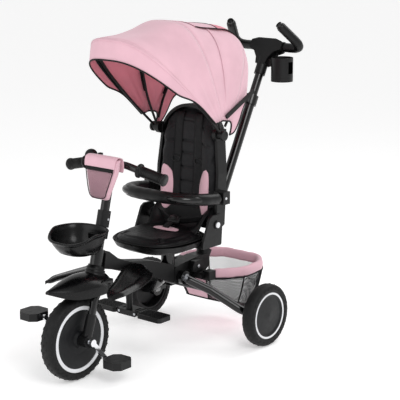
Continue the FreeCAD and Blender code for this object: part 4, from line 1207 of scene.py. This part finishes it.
class TRICYCLE_OT_storage_bag(bpy.types.Operator):
    """Zipped storage bag on the back of the backrest, with its black edging, zip and pocket panel"""
    bl_idname = "tricycle.storage_bag"
    bl_label = "Storage bag"

    def execute(self, context):
        forward = Vector((math.cos(LEAN), 0, -math.sin(LEAN)))
        corners = [at(*leaned(55, y, z)) for y, z in ((-98, 458), (98, 458), (94, 603), (-94, 603))]
        bag = inflated(box_bag("storage_bag_cloth", corners, -forward * 27 * MM, 2 * MM,
                               [finish("oxford_polyester_pink_solid")]), 1.5)
        ridden(bag, "backrest", "pink_fabric", "storage_bag")
        trims = []
        for x, inset in ((55.5, 1.5), (34, 2.5)):
            loop = []
            for y, z in ((-100, 462), (-98, 456), (98, 456), (100, 462), (96, 602), (92, 606), (-92, 606),
                         (-96, 602)):
                loop.append(at(*leaned(x, y * (1 + inset / 100), z + (inset if z > 500 else -inset))))
            trims.append(tube("bag_edge", loop, 2.3 * MM, finish("corded_edging_black"), closed=True))
        zip_line = [at(*leaned(27.5, -78 + 156 * k / 12, 566)) for k in range(13)]
        trims.append(flat_strap("zip_tape", zip_line, (0.06, 0, 1), 15 * MM, 1.6 * MM,
                                [finish("corded_edging_black")]))
        teeth = path_curve("zip_teeth", [p + Vector((-1.4 * MM, 0, 0)) for p in zip_line], None)
        trims.append(repeated(teeth, beads_tree, Spacing=3.0 * MM, Radius=1.5 * MM, Length=1.7 * MM, Sides=6,
                              Material=finish("zinc_plated_steel")))
        panel = [[at(*leaned(26.0 - 0.8 * math.sin(math.pi * k / 10) - 0.8, -84 + 168 * k / 10, 474 + 8 * j))
                  for k in range(11)] for j in range(10)]
        pocket = grid_sheet("pocket", panel, [finish("oxford_polyester_black")])
        trims.append(with_thickness(pocket, 1.2 * MM, offset=0.0))
        ridden(joined("storage_bag_trim", trims), "backrest", "black_fabric")
        return {"FINISHED"}


BASKET_HALF = [(66, 62), (26, 108), (-36, 145), (-150, 134), (-205, 84)]
BASKET_MID = -70.0


def basket_ring(inset, shrink=1.0, level=197.0, slope=0.0, count=96):
    """Smooth plan line of the basket, in metres, starting at the front on the right."""
    corners = []
    for x, y in [(x, -y) for x, y in BASKET_HALF] + [(x, y) for x, y in reversed(BASKET_HALF)]:
        px = BASKET_MID + (x - BASKET_MID) * shrink
        px = px - inset if px > BASKET_MID else px + inset
        py = y * shrink - math.copysign(inset, y)
        corners.append(Vector((px, py, level + slope * (px - BASKET_MID))))
    dense = []
    total = len(corners)
    for i in range(total):
        a, b, c = corners[i - 1], corners[i], corners[(i + 1) % total]
        reach = min(22.0, 0.45 * (b - a).length, 0.45 * (c - b).length)
        first, last = b + (a - b).normalized() * reach, b + (c - b).normalized() * reach
        dense += [first.lerp(b, t).lerp(b.lerp(last, t), t) for t in (0, 0.25, 0.5, 0.75, 1.0)]
    dense.append(dense[0].copy())
    ring = [along(dense, k / count) for k in range(count)]
    start = max(range(count), key=lambda k: (round(ring[k].x, 1), -abs(ring[k].y)))
    ring = ring[start:] + ring[:start]
    return [at(*p) for p in ring]


def basket_rim_pad():
    """Padded rim: a soft flattened tube round the top, open at the front, swelling a little along its length.
    """
    line = basket_ring(8.5, 1.0, 214.5, count=120)
    line = line[9:-9]
    centre = sum(line, Vector()) / len(line)
    rings = []
    for i, p in enumerate(line):
        ahead = line[min(i + 1, len(line) - 1)] - line[max(i - 1, 0)]
        out = Vector((ahead.y, -ahead.x, 0)).normalized()
        out = out if out.dot(p - centre) > 0 else -out
        end = smooth_step(0, 3, min(i, len(line) - 1 - i)) * 0.35 + 0.65
        puff = 1 + 0.035 * math.sin(i * 0.9) + 0.02 * math.sin(i * 2.3)
        ring = []
        for k in range(20):
            a = 2 * math.pi * k / 20
            c, s = math.cos(a), math.sin(a)
            wide = 9.5 * end * puff * math.copysign(abs(c) ** 0.8, c)
            tall = 17.5 * end * puff * math.copysign(abs(s) ** 0.85, s)
            ring.append(p + out * wide * MM + Vector((0, 0, tall * MM)))
        rings.append(ring)
    return closed_loft("basket_rim_pad", rings, [finish("oxford_polyester_pink_solid")])


def basket_wall(first, last, levels, low_share=0.0, high_share=1.0, inset=3.0):
    """Rows of points on the basket's side between two places round it."""
    top, bottom = basket_ring(inset, 1.0, 204), basket_ring(inset, 0.76, 86, 0.34)
    columns = [k % len(top) for k in range(first, last + 1)]
    rows = []
    for i in range(levels + 1):
        share = low_share + (high_share - low_share) * i / levels
        sag = 3.0 * math.sin(math.pi * share) * MM
        centre = at(BASKET_MID, 0, 140)
        row = []
        for j in columns:
            p = bottom[j].lerp(top[j], share)
            out = Vector((p.x - centre.x, p.y - centre.y, 0)).normalized()
            row.append(p + out * sag)
        rows.append(row)
    return rows


def net_of(name, rows, material, thread, across):
    """Diagonal net laid over rows of points."""
    count_rows, count_columns = len(rows), len(rows[0])
    down = int(across * (rows[-1][0] - rows[0][0]).length / max(
        sum((b - a).length for a, b in zip(rows[0], rows[0][1:])), 1e-6)) + 1
    points, edges = [], []
    for i in range(down + 1):
        u = i / down * (count_rows - 1)
        i0, fu = min(int(u), count_rows - 2), u - min(int(u), count_rows - 2)
        for j in range(across + 1):
            v = j / across * (count_columns - 1)
            j0, fv = min(int(v), count_columns - 2), v - min(int(v), count_columns - 2)
            low = rows[i0][j0].lerp(rows[i0][j0 + 1], fv)
            high = rows[i0 + 1][j0].lerp(rows[i0 + 1][j0 + 1], fv)
            points.append(low.lerp(high, fu))
    for i in range(down):
        for j in range(across):
            a = i * (across + 1) + j
            edges += [(a, a + across + 2), (a + 1, a + across + 1)]
    mesh = bpy.data.meshes.new(name)
    mesh.from_pydata([tuple(p) for p in points], edges, [])
    obj = bpy.data.objects.new(name, mesh)
    bpy.context.scene.collection.objects.link(obj)
    return repeated(obj, net_tree, name, Thread=thread, Material=material)


class TRICYCLE_OT_basket(bpy.types.Operator):
    """Rear basket: padded pink rim, net sides with binding, and its pink front and floor"""
    bl_idname = "tricycle.basket"
    bl_label = "Basket"

    def execute(self, context):
        soft = sizes("soft")
        rim = basket_rim_pad()
        ridden(softened(rim), "frame", "pink_fabric", "basket_rim")
        net = net_of("basket_net", basket_wall(6, 90, 8), finish("net_thread_black"), soft.net_thread * 1.5,
                     150)
        ridden(net, "frame", "mesh_fabric", "basket_bag")
        front = [row[::-1] for row in basket_wall(90, 102, 6, inset=3.6)]
        front = with_thickness(grid_sheet("basket_front", front, [finish("oxford_polyester_pink")]), 1.4 * MM,
                               offset=0.0)
        floor_ring = basket_ring(4.0, 0.76, 86, 0.34)
        centre = sum(floor_ring, Vector()) / len(floor_ring)
        rows = [[centre.lerp(p, share) - Vector((0, 0, 4 * MM * (1 - share * share))) for p in floor_ring]
                for share in (0.02, 0.2, 0.4, 0.6, 0.8, 1.0)]
        floor = with_thickness(grid_sheet("basket_floor", rows, [finish("oxford_polyester_pink_solid")],
                                          wrap=True),
                               1.4 * MM, offset=0.0)
        ridden(joined("basket_panels", [front, floor]), "frame", "pink_fabric")
        binding = [tube("binding", basket_ring(3.0, 0.76, 87, 0.34)[::2], 3.0 * MM,
                        finish("corded_edging_black"),
                        closed=True)]
        walls = basket_wall(0, 95, 8, inset=2.6)
        for column in (6, 20, 76, 90, 34, 62):
            binding.append(tube("binding", [row[column] for row in walls], 2.6 * MM,
                                finish("corded_edging_black")))
        under_rim = basket_ring(2.6, 1.0, 199)
        binding.append(tube("binding", under_rim[5:-5:2], 2.8 * MM, finish("corded_edging_black")))
        ridden(joined("basket_binding", binding), "frame", "black_fabric")
        return {"FINISHED"}


# ---- Front tray and steering boot ----------------------------------------------------------------
def steering_mm(z):
    """Point of the steering axis at a height."""
    share = (z - STEER_LOW.z) / (STEER_TOP.z - STEER_LOW.z)
    return STEER_LOW.lerp(STEER_TOP, share)


def round_steering(name, profile, material):
    """Closed solid of rings round the steering axis, from (height, radius) points in mm."""
    run = (STEER_TOP - STEER_LOW).normalized()
    side = Vector((0, 1, 0))
    ahead = side.cross(run)
    rings = [[at(*(steering_mm(z) + (ahead * math.cos(a) + side * math.sin(a)) * radius))
              for a in [2 * math.pi * k / 36 for k in range(36)]] for z, radius in profile]
    return closed_loft(name, rings, [material])


def tray_bowl():
    """Oval bowl with a rolled rim that droops at the front."""
    rings = []
    for share, z in ((0.3, 385), (0.55, 385.5), (0.68, 390), (0.78, 402), (0.88, 422), (0.94, 440),
                     (0.965, 447),
                     (1.02, 449.5), (1.045, 453), (1.02, 456), (0.97, 456), (0.93, 452), (0.9, 440),
                     (0.84, 420),
                     (0.75, 402), (0.64, 393), (0.5, 389), (0.1, 388.5)):
        ring = []
        for x, y in pad_outline(56, 78 * share, 86 * share, 2.3):
            reach = smooth_step(10, 78, x)
            droop = -24 * reach * smooth_step(388, 452, z)
            ring.append(at(584 + x * (1 + 0.03 * reach), y, z + droop))
        rings.append(ring)
    return closed_loft("tray_bowl", rings, [finish("satin_abs_black")])


class TRICYCLE_OT_tray(bpy.types.Operator):
    """Front tray with its collar and arm, and the ribbed boot under the head tube"""
    bl_idname = "tricycle.tray"
    bl_label = "Front tray"

    def execute(self, context):
        black = finish("satin_abs_black")
        collar = round_steering("tray_collar", [(412, 19.5), (413.5, 21.5), (437, 21.5), (439, 19.5)], black)
        arm_rings = [[at(x, y, z) for y, z in ((-half, 414), (half, 414), (half, 433), (-half, 433))]
                     for x, half in ((492, 15), (512, 15), (524, 22))]
        arm = edges_rounded(closed_loft("tray_arm", arm_rings, [black], False), 3 * MM)
        ridden(joined("tray_with_collar", [tray_bowl(), collar, arm]), "steering", "matte_black_plastic",
               "front_tray")
        boot = round_steering("steering_boot", [(300, 24), (300.5, 30), (305, 33.5), (309, 33), (312, 28.5),
                                                (315, 31), (318.5, 30.5), (321, 26.5), (324, 28.5), (327, 28),
                                                (330, 24), (334, 23.5)], finish("coated_foam_black"))
        ridden(boot, "steering", "matte_black_plastic")
        return {"FINISHED"}


# ---- Handlebar bag -------------------------------------------------------------------------------

def bag_half(z):
    """Half width of the handlebar bag at a height."""
    if z > 612:
        return 60 + 2 * (z - 612) / 46
    return 33 + 27 * (z - 531) / 81


def bag_front_x(z):
    return 484 + (656 - z) * 18 / 108 if z > 548 else 502 - (548 - z) * 0.18


def bag_back_x(z):
    return 456 + (652 - z) * 0.2


class TRICYCLE_OT_handlebar_bag(bpy.types.Operator):
    """Bag on the handlebar: pink sides and flap, dark band, net front"""
    bl_idname = "tricycle.handlebar_bag"
    bl_label = "Handlebar bag"

    def execute(self, context):
        rings = []
        for k in range(15):
            z = 533 + 119 * k / 14
            half, front, back = bag_half(z) - 2, bag_front_x(z) - 3, bag_back_x(z) + 1
            ring = []
            for j in range(40):
                a = 2 * math.pi * j / 40
                c, s = math.cos(a), math.sin(a)
                x = (front + back) / 2 + (front - back) / 2 * math.copysign(abs(c) ** 0.35, c)
                y = half * math.copysign(abs(s) ** 0.3, s)
                swell = 1.5 * math.sin(math.pi * k / 14) * max(0, c)
                ring.append(at(x + swell, y, z))
            rings.append(ring)
        body = closed_loft("handlebar_bag_cloth", rings, [finish("oxford_polyester_pink_solid")])
        ridden(body, "steering", "pink_fabric", "handlebar_bag")
        rows = []
        for k in range(13):
            z = 537 + 84 * k / 12
            rows.append([at(bag_front_x(z) + 1.2 + 1.5 * math.sin(math.pi * (z - 533) / 119),
                            (bag_half(z) - 7) * u, z) for u in [-1 + j / 8 for j in range(17)]])
        net = net_of("handlebar_bag_net", rows, finish("net_thread_grey"), sizes("soft").net_thread * 0.7, 20)
        ridden(net, "steering", "mesh_fabric")
        trims = []
        band_rows = [[at(bag_front_x(z) + 2.2, (bag_half(z) - 5) * u,
                         z) for u in [-1 + j / 8 for j in range(17)]]
                     for z in (617, 621, 625, 629)]
        trims.append(with_thickness(grid_sheet("band", band_rows, [finish("corded_edging_black")]), 1.5 * MM,
                                    offset=0.0))
        outline = [at(bag_front_x(z) + 1.6, (bag_half(z) - 5.5) * side, z)
                   for side,
                   heights in ((-1, (620, 590, 560, 536)), (1, (536, 560, 590, 620))) for z in heights]
        trims.append(tube("edge", outline, 1.5 * MM, finish("corded_edging_black"), order=3))
        ridden(joined("handlebar_bag_trim", trims), "steering", "black_fabric")
        flap_rows = []
        profile = [(452, 612), (451, 640), (454, 655), (464, 660.5), (476, 661), (486, 657), (489.5, 648),
                   (491, 638), (492.2, 628)]
        for x, z in profile:
            wide = bag_half(min(z, 655)) + 1.2
            flap_rows.append([at(x - 1.0 * abs(u) ** 4, wide * u, z - 1.2 * abs(u) ** 6)
                              for u in [-1 + j / 10 for j in range(21)]])
        flap = grid_sheet("handlebar_bag_flap", flap_rows, [finish("oxford_polyester_pink")])
        flap = softened(with_thickness(flap, 2.0 * MM, offset=0.0))
        ridden(flap, "steering", "pink_fabric")
        return {"FINISHED"}


# ---- Foam and grips ------------------------------------------------------------------------------
class TRICYCLE_OT_foam(bpy.types.Operator):
    """Foam sleeve of the safety bar, narrowed at its ends"""
    bl_idname = "tricycle.foam"
    bl_label = "Safety bar foam"

    def execute(self, context):
        tilt = math.radians(6.6)
        run = Vector((math.cos(tilt), 0, math.sin(tilt)))
        end = Vector((112, 147, 488))
        straight = end + run * 46
        front = end + run * 158
        route = [end + run * 1, end + run * 20, straight]
        for k in range(1, 13):
            a = math.pi / 2 * k / 12
            p = straight + run * 112 * math.sin(a)
            route.append(Vector((p.x, 147 - 112 * (1 - math.cos(a)), p.z)))
        route += [Vector((front.x, 18, front.z)), Vector((front.x, 0, front.z))]
        line = route + mirrored(route[:-1])[::-1]
        chain = [at(*p) for p in line]
        rings = []
        count = 84
        for i in range(count + 1):
            share = i / count
            p = along(chain, share)
            ahead = along(chain, min(1, share + 0.004)) - along(chain, max(0, share - 0.004))
            ahead.normalize()
            up = Vector((0, 0, 1))
            side = ahead.cross(up).normalized()
            up = side.cross(ahead)
            taper = 1 - 0.22 * (1 - smooth_step(0, 0.012, min(share, 1 - share)))
            radius = 19.0 * taper * (1 - 0.012 * math.sin(share * 95))
            ring = []
            for k in range(24):
                a = 2 * math.pi * k / 24
                seam = 1 - 0.05 * hump(math.sin((a + math.pi / 2) / 2), 0, 0.07)
                ring.append(p + (side * math.cos(a) + up * math.sin(a)) * radius * seam * MM)
            rings.append(ring)
        sleeve = closed_loft("safety_bar_sleeve", rings, [finish("coated_foam_black")])
        ridden(sleeve, "safety_bar", "grip_foam", "safety_bar_foam")
        return {"FINISHED"}


class TRICYCLE_OT_grips(bpy.types.Operator):
    """Ribbed grips of the handlebar and of the push handle"""
    bl_idname = "tricycle.grips"
    bl_label = "Grips"

    def execute(self, context):
        wheels = sizes("wheels")
        black = finish("coated_foam_black")

        def bar_grip():
            inner, outer = Vector((432.4, 104, 623.1)), Vector((419.0, 192, 602.8))
            run = (outer - inner).normalized()
            core = [(0, 21.0), (2, 22), (6, 21.6), (7, 15.4), (20, 15.0), (45, 15.9), (70, 15.2), (84, 15.6),
                    (87, 18.2), (92, 18.8), (95, 17.0), (96.5, 9.0)]
            side = run.cross(Vector((0, 0, 1))).normalized()
            up = side.cross(run)
            rings = []
            for step, radius in core:
                rings.append([at(*(inner + run * step + (side * math.cos(a) + up * math.sin(a)) * radius))
                              for a in [2 * math.pi * k / 28 for k in range(28)]])
            grip = closed_loft("grip", rings, [black])
            line = path_curve("ribs", place([inner + run * 12, inner + run * 48, inner + run * 82]), None)
            ribs = repeated(line, beads_tree, Spacing=wheels.grip_rib, Radius=16.6 * MM, Length=2.4 * MM,
                            Sides=28,
                            Material=black)
            return joined("grip", [grip, ribs])

        ridden(both_sides("handlebar_grip_sleeves", bar_grip), "steering", "grip_foam", "handlebar_grips")

        def handle_grip():
            tip, bend, hub = Vector((110, 100, 441)), Vector((-8, 142, 405)), Vector((0, 0, 404))
            reach = 46.0
            into = bend + (tip - bend).normalized() * reach
            out = bend + (hub - bend).normalized() * reach
            route = [tip.lerp(into, t) for t in (0, 0.3, 0.6, 1)]
            route += [into.lerp(bend, t).lerp(bend.lerp(out, t), t) for t in (0.2, 0.4, 0.6, 0.8)]
            stop = hub + (bend - hub) * (66 / 142)
            route += [out, out.lerp(stop, 0.5), stop]
            chain = [at(*on_rod(*p)) for p in route]
            rings = []
            count = 60
            for i in range(count + 1):
                share = i / count
                p = along(chain, share)
                ahead = (along(chain, min(1, share + 0.02)) - along(chain, max(0, share - 0.02))).normalized()
                side = ahead.cross(Vector((0.3, 0, 1))).normalized()
                up = side.cross(ahead)
                body = 15.4 + 0.5 * math.cos(share * 160)
                if share < 0.09:
                    body *= math.sqrt(max(0.02, 1 - (1 - share / 0.09) ** 2))
                rings.append([p + (side * math.cos(a) + up * math.sin(a)) * body * MM
                              for a in [2 * math.pi * k / 26 for k in range(26)]])
            grip = closed_loft("grip", rings, [black])
            return grip

        ridden(both_sides("push_handle_sleeves", handle_grip), "push_rod", "grip_foam", "handle_grips")
        return {"FINISHED"}


# ---- Wheels --------------------------------------------------------------------------------------
def tyre(name, centre, profile, radius, half_width, count):
    """Tyre: a turned carcass with tread blocks on both shoulders and round its crown."""
    carcass = turned(name, profile, centre, [finish("foamed_eva_black")], steps=120)
    parts = [carcass]
    rows = [
        (radius - 5.6, (9.0, 4.2, 3.6), half_width - 5.2, 0.62, 0.0),
        (radius - 5.6, (9.0, 4.2, 3.6), -(half_width - 5.2), -0.62, 0.5),
        (radius - 1.7, (10.0, 3.4, 2.2), 6.5, 0.5, 0.25),
        (radius - 1.7, (10.0, 3.4, 2.2), -6.5, -0.5, 0.75),
        (radius - 12.5, (7.5, 5.0, 3.2), half_width - 2.0, 1.25, 0.5),
        (radius - 12.5, (7.5, 5.0, 3.2), -(half_width - 2.0), -1.25, 0.0),
    ]
    for place_radius, size, side, lean, start in rows:
        ring = bpy.data.objects.new("tread", bpy.data.meshes.new("tread"))
        bpy.context.scene.collection.objects.link(ring)
        blocks = repeated(ring, blocks_tree, Radius=place_radius * MM, Count=count,
                          Size=[s * MM for s in (size[1], size[2], size[0])], Offset=(0.0, 0.0, 0.0),
                          Twist=(math.copysign(0.5, side), 0.0, lean),
                          Start=2 * math.pi * start / count, Material=finish("foamed_eva_black"))
        blocks.data.transform(Matrix.Translation(at(centre[0], centre[1] + side, centre[2])))
        parts.append(blocks)
    return joined(name, parts)


class TRICYCLE_OT_wheels(bpy.types.Operator):
    """Three tyres with tread blocks, and the pale rings of the rear wheels"""
    bl_idname = "tricycle.wheels"
    bl_label = "Wheels"

    def execute(self, context):
        wheels = sizes("wheels")
        front = [(101, -20), (103, -22.6), (108, -24), (114, -23.8), (120, -22), (124, -17.5), (126, -11),
                 (126.6, 0), (126, 11), (124, 17.5), (120, 22), (114, 23.8), (108, 24), (103, 22.6),
                 (101, 20)]
        made = tyre("front_tyre_tread", FRONT_AXLE, front, FRONT_R, FRONT_HALF_W, wheels.front_blocks)
        ridden(made, "front_wheel", "tyre", "front_tyre")
        rear = [(75, -17), (77, -19.6), (82, -20.6), (90, -20.3), (96, -18.6), (99.4, -14), (100.9, -8),
                (101.2, 0), (100.9, 8), (99.4, 14), (96, 18.6), (90, 20.3), (82, 20.6), (77, 19.6), (75, 17)]
        for label, side in (("left", 1), ("right", -1)):
            made = tyre("rear_tyre_tread_" + label, (0, side * TRACK_HALF, REAR_R), rear, REAR_R, REAR_HALF_W,
                        wheels.rear_blocks)
            ridden(made, "rear_wheel_" + label, "tyre", "rear_tyre_" + label)
            outline = [(68.5, 16.8), (69.2, 18.6), (70.5, 19.3), (74.0, 19.3), (75.4, 18.6), (76.0, 17.2),
                       (74.5, 15.5), (70.0, 15.5)]
            ring = turned("rear_ring_" + label, [(r, side * y) for r, y in outline],
                          (0, side * TRACK_HALF, REAR_R), [finish("moulded_pp_pale")])
            ridden(ring, "rear_wheel_" + label, "white_plastic")
        return {"FINISHED"}


# ---- Footrests -----------------------------------------------------------------------------------
def wing_side(t):
    """Inner and outer edge of an upper footrest at a share of its length, in plan: x, inner y, outer y."""
    inner = [(372, 24), (420, 24), (468, 50), (530, 84), (586, 112), (601, 132)]
    outer = [(354, 60), (364, 100), (402, 126), (470, 147), (556, 156), (600, 140)]
    a = along([Vector((x, y, 0)) for x, y in inner], t)
    b = along([Vector((x, y, 0)) for x, y in outer], t)
    return a, b


def wing():
    """Leaf-shaped footrest: dished along its middle, its outer edge rolled down."""
    tilt_out, tilt_front = math.radians(-10.1), math.radians(2.7)
    rows_top, rows_low = [], []
    for i in range(25):
        t = i / 24
        a, b = wing_side(t)
        top, low = [], []
        for k in range(13):
            u = k / 12
            p = a.lerp(b, u)
            body = math.sin(math.pi * min(1, max(0, 0.02 + 0.96 * u))) ** 0.5
            ends = smooth_step(0, 0.08, t) * smooth_step(1, 0.92, t)
            dish = -2.6 * math.sin(math.pi * u) * ends
            roll = -13.0 * smooth_step(0.66, 1.0, u) ** 1.4 - 4.0 * smooth_step(0.18, 0.0, u)
            tip = -9.0 * smooth_step(0.84, 1.0, t)
            z = dish + roll + tip
            thick = 17.0 * body * (0.55 + 0.45 * ends) + 1.0
            for row, height in ((top, z), (low, min(z - 0.6, -3.0 - thick + 0.35 * (z + 3)))):
                y1 = p.y * math.cos(tilt_out) - height * math.sin(tilt_out)
                z1 = p.y * math.sin(tilt_out) + height * math.cos(tilt_out)
                x2 = p.x * math.cos(tilt_front) + z1 * math.sin(tilt_front)
                z2 = -p.x * math.sin(tilt_front) + z1 * math.cos(tilt_front)
                row.append(at(x2, y1, z2 + 338.8))
        rows_top.append(top)
        rows_low.append(low)
    rings = [top + low[::-1] for top, low in zip(rows_top, rows_low)]
    return softened(closed_loft("wing", rings, [finish("satin_abs_black")]))


class TRICYCLE_OT_footrests(bpy.types.Operator):
    """Leaf-shaped upper footrests, and the ribs on the folding lower ones"""
    bl_idname = "tricycle.footrests"
    bl_label = "Footrests"

    def execute(self, context):
        ridden(both_sides("footrest_wings", wing), "frame", "matte_black_plastic", "upper_footrests")
        for label, side in (("left", 1), ("right", -1)):
            ribs = []
            for x in (338, 348, 358, 368, 378):
                line = path_curve("rib", [at(x, side * 52, 159.4), at(x, side * 92, 159.4),
                                          at(x, side * 132, 159.4)],
                                  None)
                ribs.append(repeated(line, beads_tree, Spacing=8.0 * MM, Radius=1.6 * MM, Length=6.4 * MM,
                                     Sides=8,
                                     Material=finish("moulded_pp_black")))
            ridden(joined("lower_footrest_ribs_" + label, ribs), "lower_footrest_" + label,
                   "matte_black_plastic")
        return {"FINISHED"}


# ---- Small fittings ------------------------------------------------------------------------------
def heads(name, spots, radius, height, socket, material):
    """Screw or rivet heads at (place, facing) spots, in mm."""
    mesh = bpy.data.meshes.new(name)
    mesh.from_pydata([tuple(at(*p)) for p, _ in spots], [], [])
    facing = mesh.attributes.new("facing", "FLOAT_VECTOR", "POINT")
    facing.data.foreach_set("vector", [c for _, f in spots for c in Vector(f).normalized()])
    obj = bpy.data.objects.new(name, mesh)
    bpy.context.scene.collection.objects.link(obj)
    return repeated(obj, heads_tree, name, Radius=radius * MM, Height=height * MM, Socket=socket * MM,
                    Material=finish(material))


def two_sided(spots):
    return spots + [((x, -y, z), (fx, -fy, fz)) for (x, y, z), (fx, fy, fz) in spots]


class TRICYCLE_OT_fittings(bpy.types.Operator):
    """Screws and rivets on the frame, the steering and the backrest"""
    bl_idname = "tricycle.fittings"
    bl_label = "Fittings"

    def execute(self, context):
        steel, pale = "zinc_plated_steel", "pale_trim"
        ridden(heads("frame_screws", two_sided([((150, 50.3, 220), (0, 1, 0)), ((86, 46.3, 246), (0, 1, 0))]),
                     5.5, 2.2, 2.0, steel), "frame", "steel")
        ridden(heads("wheel_nuts_front", two_sided([((606, 57.6, 127), (0, 1, 0))]), 8.0, 3.0, 3.5, steel),
               "steering",
               "steel")
        ridden(heads("backrest_rivets", [(leaned(98.5, y, 668), (1, 0, 0)) for y in (-68, 68)], 3.2, 1.6,
                     1.2, pale),
               "backrest", "white_plastic")
        ridden(heads("safety_bar_rivets", two_sided([((96, 166.4, 488), (0, 1, 0))]), 4.2, 1.8, 1.6, pale),
               "backrest", "white_plastic")
        ridden(heads("stem_screws", [((478, 20.3, 470), (0, 1, 0)), ((441, 24.3, 626), (0, 1, 0)),
                                     ((441, -24.3, 626), (0, -1, 0))], 3.6, 1.6, 1.6, steel), "steering",
                                     "steel")
        return {"FINISHED"}


# ---- Frame finishes ------------------------------------------------------------------------------
class TRICYCLE_OT_frame_finishes(bpy.types.Operator):
    """Enamel, plating and moulded plastics on the frame's own pieces"""
    bl_idname = "tricycle.frame_finishes"
    bl_label = "Frame finishes"

    def execute(self, context):
        for name, nodes in NODE_FINISHES.items():
            for node in nodes:
                mesh = NODES[node].data
                mesh.materials.clear()
                mesh.materials.append(finish(name))
        return {"FINISHED"}


# ---- Stage ---------------------------------------------------------------------------------------
def soft_light(name, place_mm, look_mm, size, power, tint=(1, 1, 1)):
    lamp = bpy.data.lights.new(name, "AREA")
    lamp.shape, lamp.size, lamp.energy, lamp.color = "DISK", size, power, tint
    obj = bpy.data.objects.new(name, lamp)
    obj.location = at(*place_mm)
    obj.rotation_euler = (at(*look_mm) - at(*place_mm)).to_track_quat("-Z", "Y").to_euler()
    bpy.context.scene.collection.objects.link(obj)


class TRICYCLE_OT_stage(bpy.types.Operator):
    """Pale floor, soft studio light and the camera"""
    bl_idname = "tricycle.stage"
    bl_label = "Stage"

    def execute(self, context):
        scene = bpy.context.scene
        reach = FLOOR_REACH
        corners = [(-reach, -reach, 0), (reach, -reach, 0), (reach, reach, 0), (-reach, reach, 0)]
        floor = new_mesh("studio_floor", corners, [(0, 1, 2, 3)], [], False)
        paper = bpy.data.materials.new("matt_white_paper")
        paper.use_nodes = True
        shader = paper.node_tree.nodes["Principled BSDF"]
        shader.inputs["Base Color"].default_value = (0.92, 0.92, 0.92, 1)
        shader.inputs["Roughness"].default_value = 0.9
        shader.inputs["Specular IOR Level"].default_value = 0.1
        shader.inputs["Emission Color"].default_value = (1, 1, 1, 1)
        shader.inputs["Emission Strength"].default_value = 0.34
        floor.data.materials.append(paper)
        world = bpy.data.worlds.new("studio")
        world.use_nodes = True
        sky = world.node_tree.nodes["Background"]
        sky.inputs["Color"].default_value = (1, 1, 1, 1)
        sky.inputs["Strength"].default_value = 0.64
        scene.world = world
        soft_light("key", (1500, 2300, 2400), (200, 0, 450), 1.6, 34)
        soft_light("fill", (2600, -700, 1300), (200, 0, 400), 2.0, 12)
        soft_light("back", (-1700, 600, 2200), (0, 0, 600), 1.4, 16)
        scene.view_settings.view_transform = "Standard"
        camera = bpy.data.cameras.new("camera")
        camera.lens, camera.sensor_width = CAMERA_LENS, CAMERA_SENSOR
        camera.clip_start, camera.clip_end = 0.05, 50
        eye = bpy.data.objects.new("camera", camera)
        eye.location = at(*CAMERA_PLACE)
        eye.rotation_euler = (at(*CAMERA_TARGET) - eye.location).to_track_quat("-Z", "Y").to_euler()
        scene.collection.objects.link(eye)
        scene.camera = eye
        return {"FINISHED"}


# ---- Panel and registration ----------------------------------------------------------------------
BUILD_ORDER = (TRICYCLE_OT_stage, TRICYCLE_OT_frame_finishes, TRICYCLE_OT_canopy, TRICYCLE_OT_seat_pad,
               TRICYCLE_OT_back_pad, TRICYCLE_OT_harness, TRICYCLE_OT_storage_bag, TRICYCLE_OT_basket,
               TRICYCLE_OT_tray, TRICYCLE_OT_handlebar_bag, TRICYCLE_OT_foam, TRICYCLE_OT_grips,
               TRICYCLE_OT_wheels,
               TRICYCLE_OT_footrests, TRICYCLE_OT_fittings)
GROUPS = {"colours": TricycleColours, "soft": TricycleSoftSizes, "wheels": TricycleWheelSizes}


class TRICYCLE_PT_build(bpy.types.Panel):
    """Sizes, colours and the pieces of the tricycle"""
    bl_idname = "TRICYCLE_PT_build"
    bl_label = "Child's tricycle"
    bl_space_type = "VIEW_3D"
    bl_region_type = "UI"
    bl_category = "Tricycle"

    def draw(self, context):
        for label in GROUPS:
            box = self.layout.box()
            group = getattr(context.scene, "tricycle_" + label)
            for key in type(group).__annotations__:
                box.prop(group, key)
        for piece in BUILD_ORDER:
            self.layout.operator(piece.bl_idname)


def register():
    for group in GROUPS.values():
        bpy.utils.register_class(group)
    for label, group in GROUPS.items():
        setattr(bpy.types.Scene, "tricycle_" + label, PointerProperty(type=group))
    for piece in BUILD_ORDER:
        bpy.utils.register_class(piece)
    bpy.utils.register_class(TRICYCLE_PT_build)


def unregister():
    bpy.utils.unregister_class(TRICYCLE_PT_build)
    for piece in reversed(BUILD_ORDER):
        bpy.utils.unregister_class(piece)
    for label in GROUPS:
        delattr(bpy.types.Scene, "tricycle_" + label)
    for group in GROUPS.values():
        bpy.utils.unregister_class(group)


def main():
    register()
    for piece in BUILD_ORDER:
        category, name = piece.bl_idname.split(".")
        getattr(getattr(bpy.ops, category), name)()


if __name__ == "__main__":
    main()
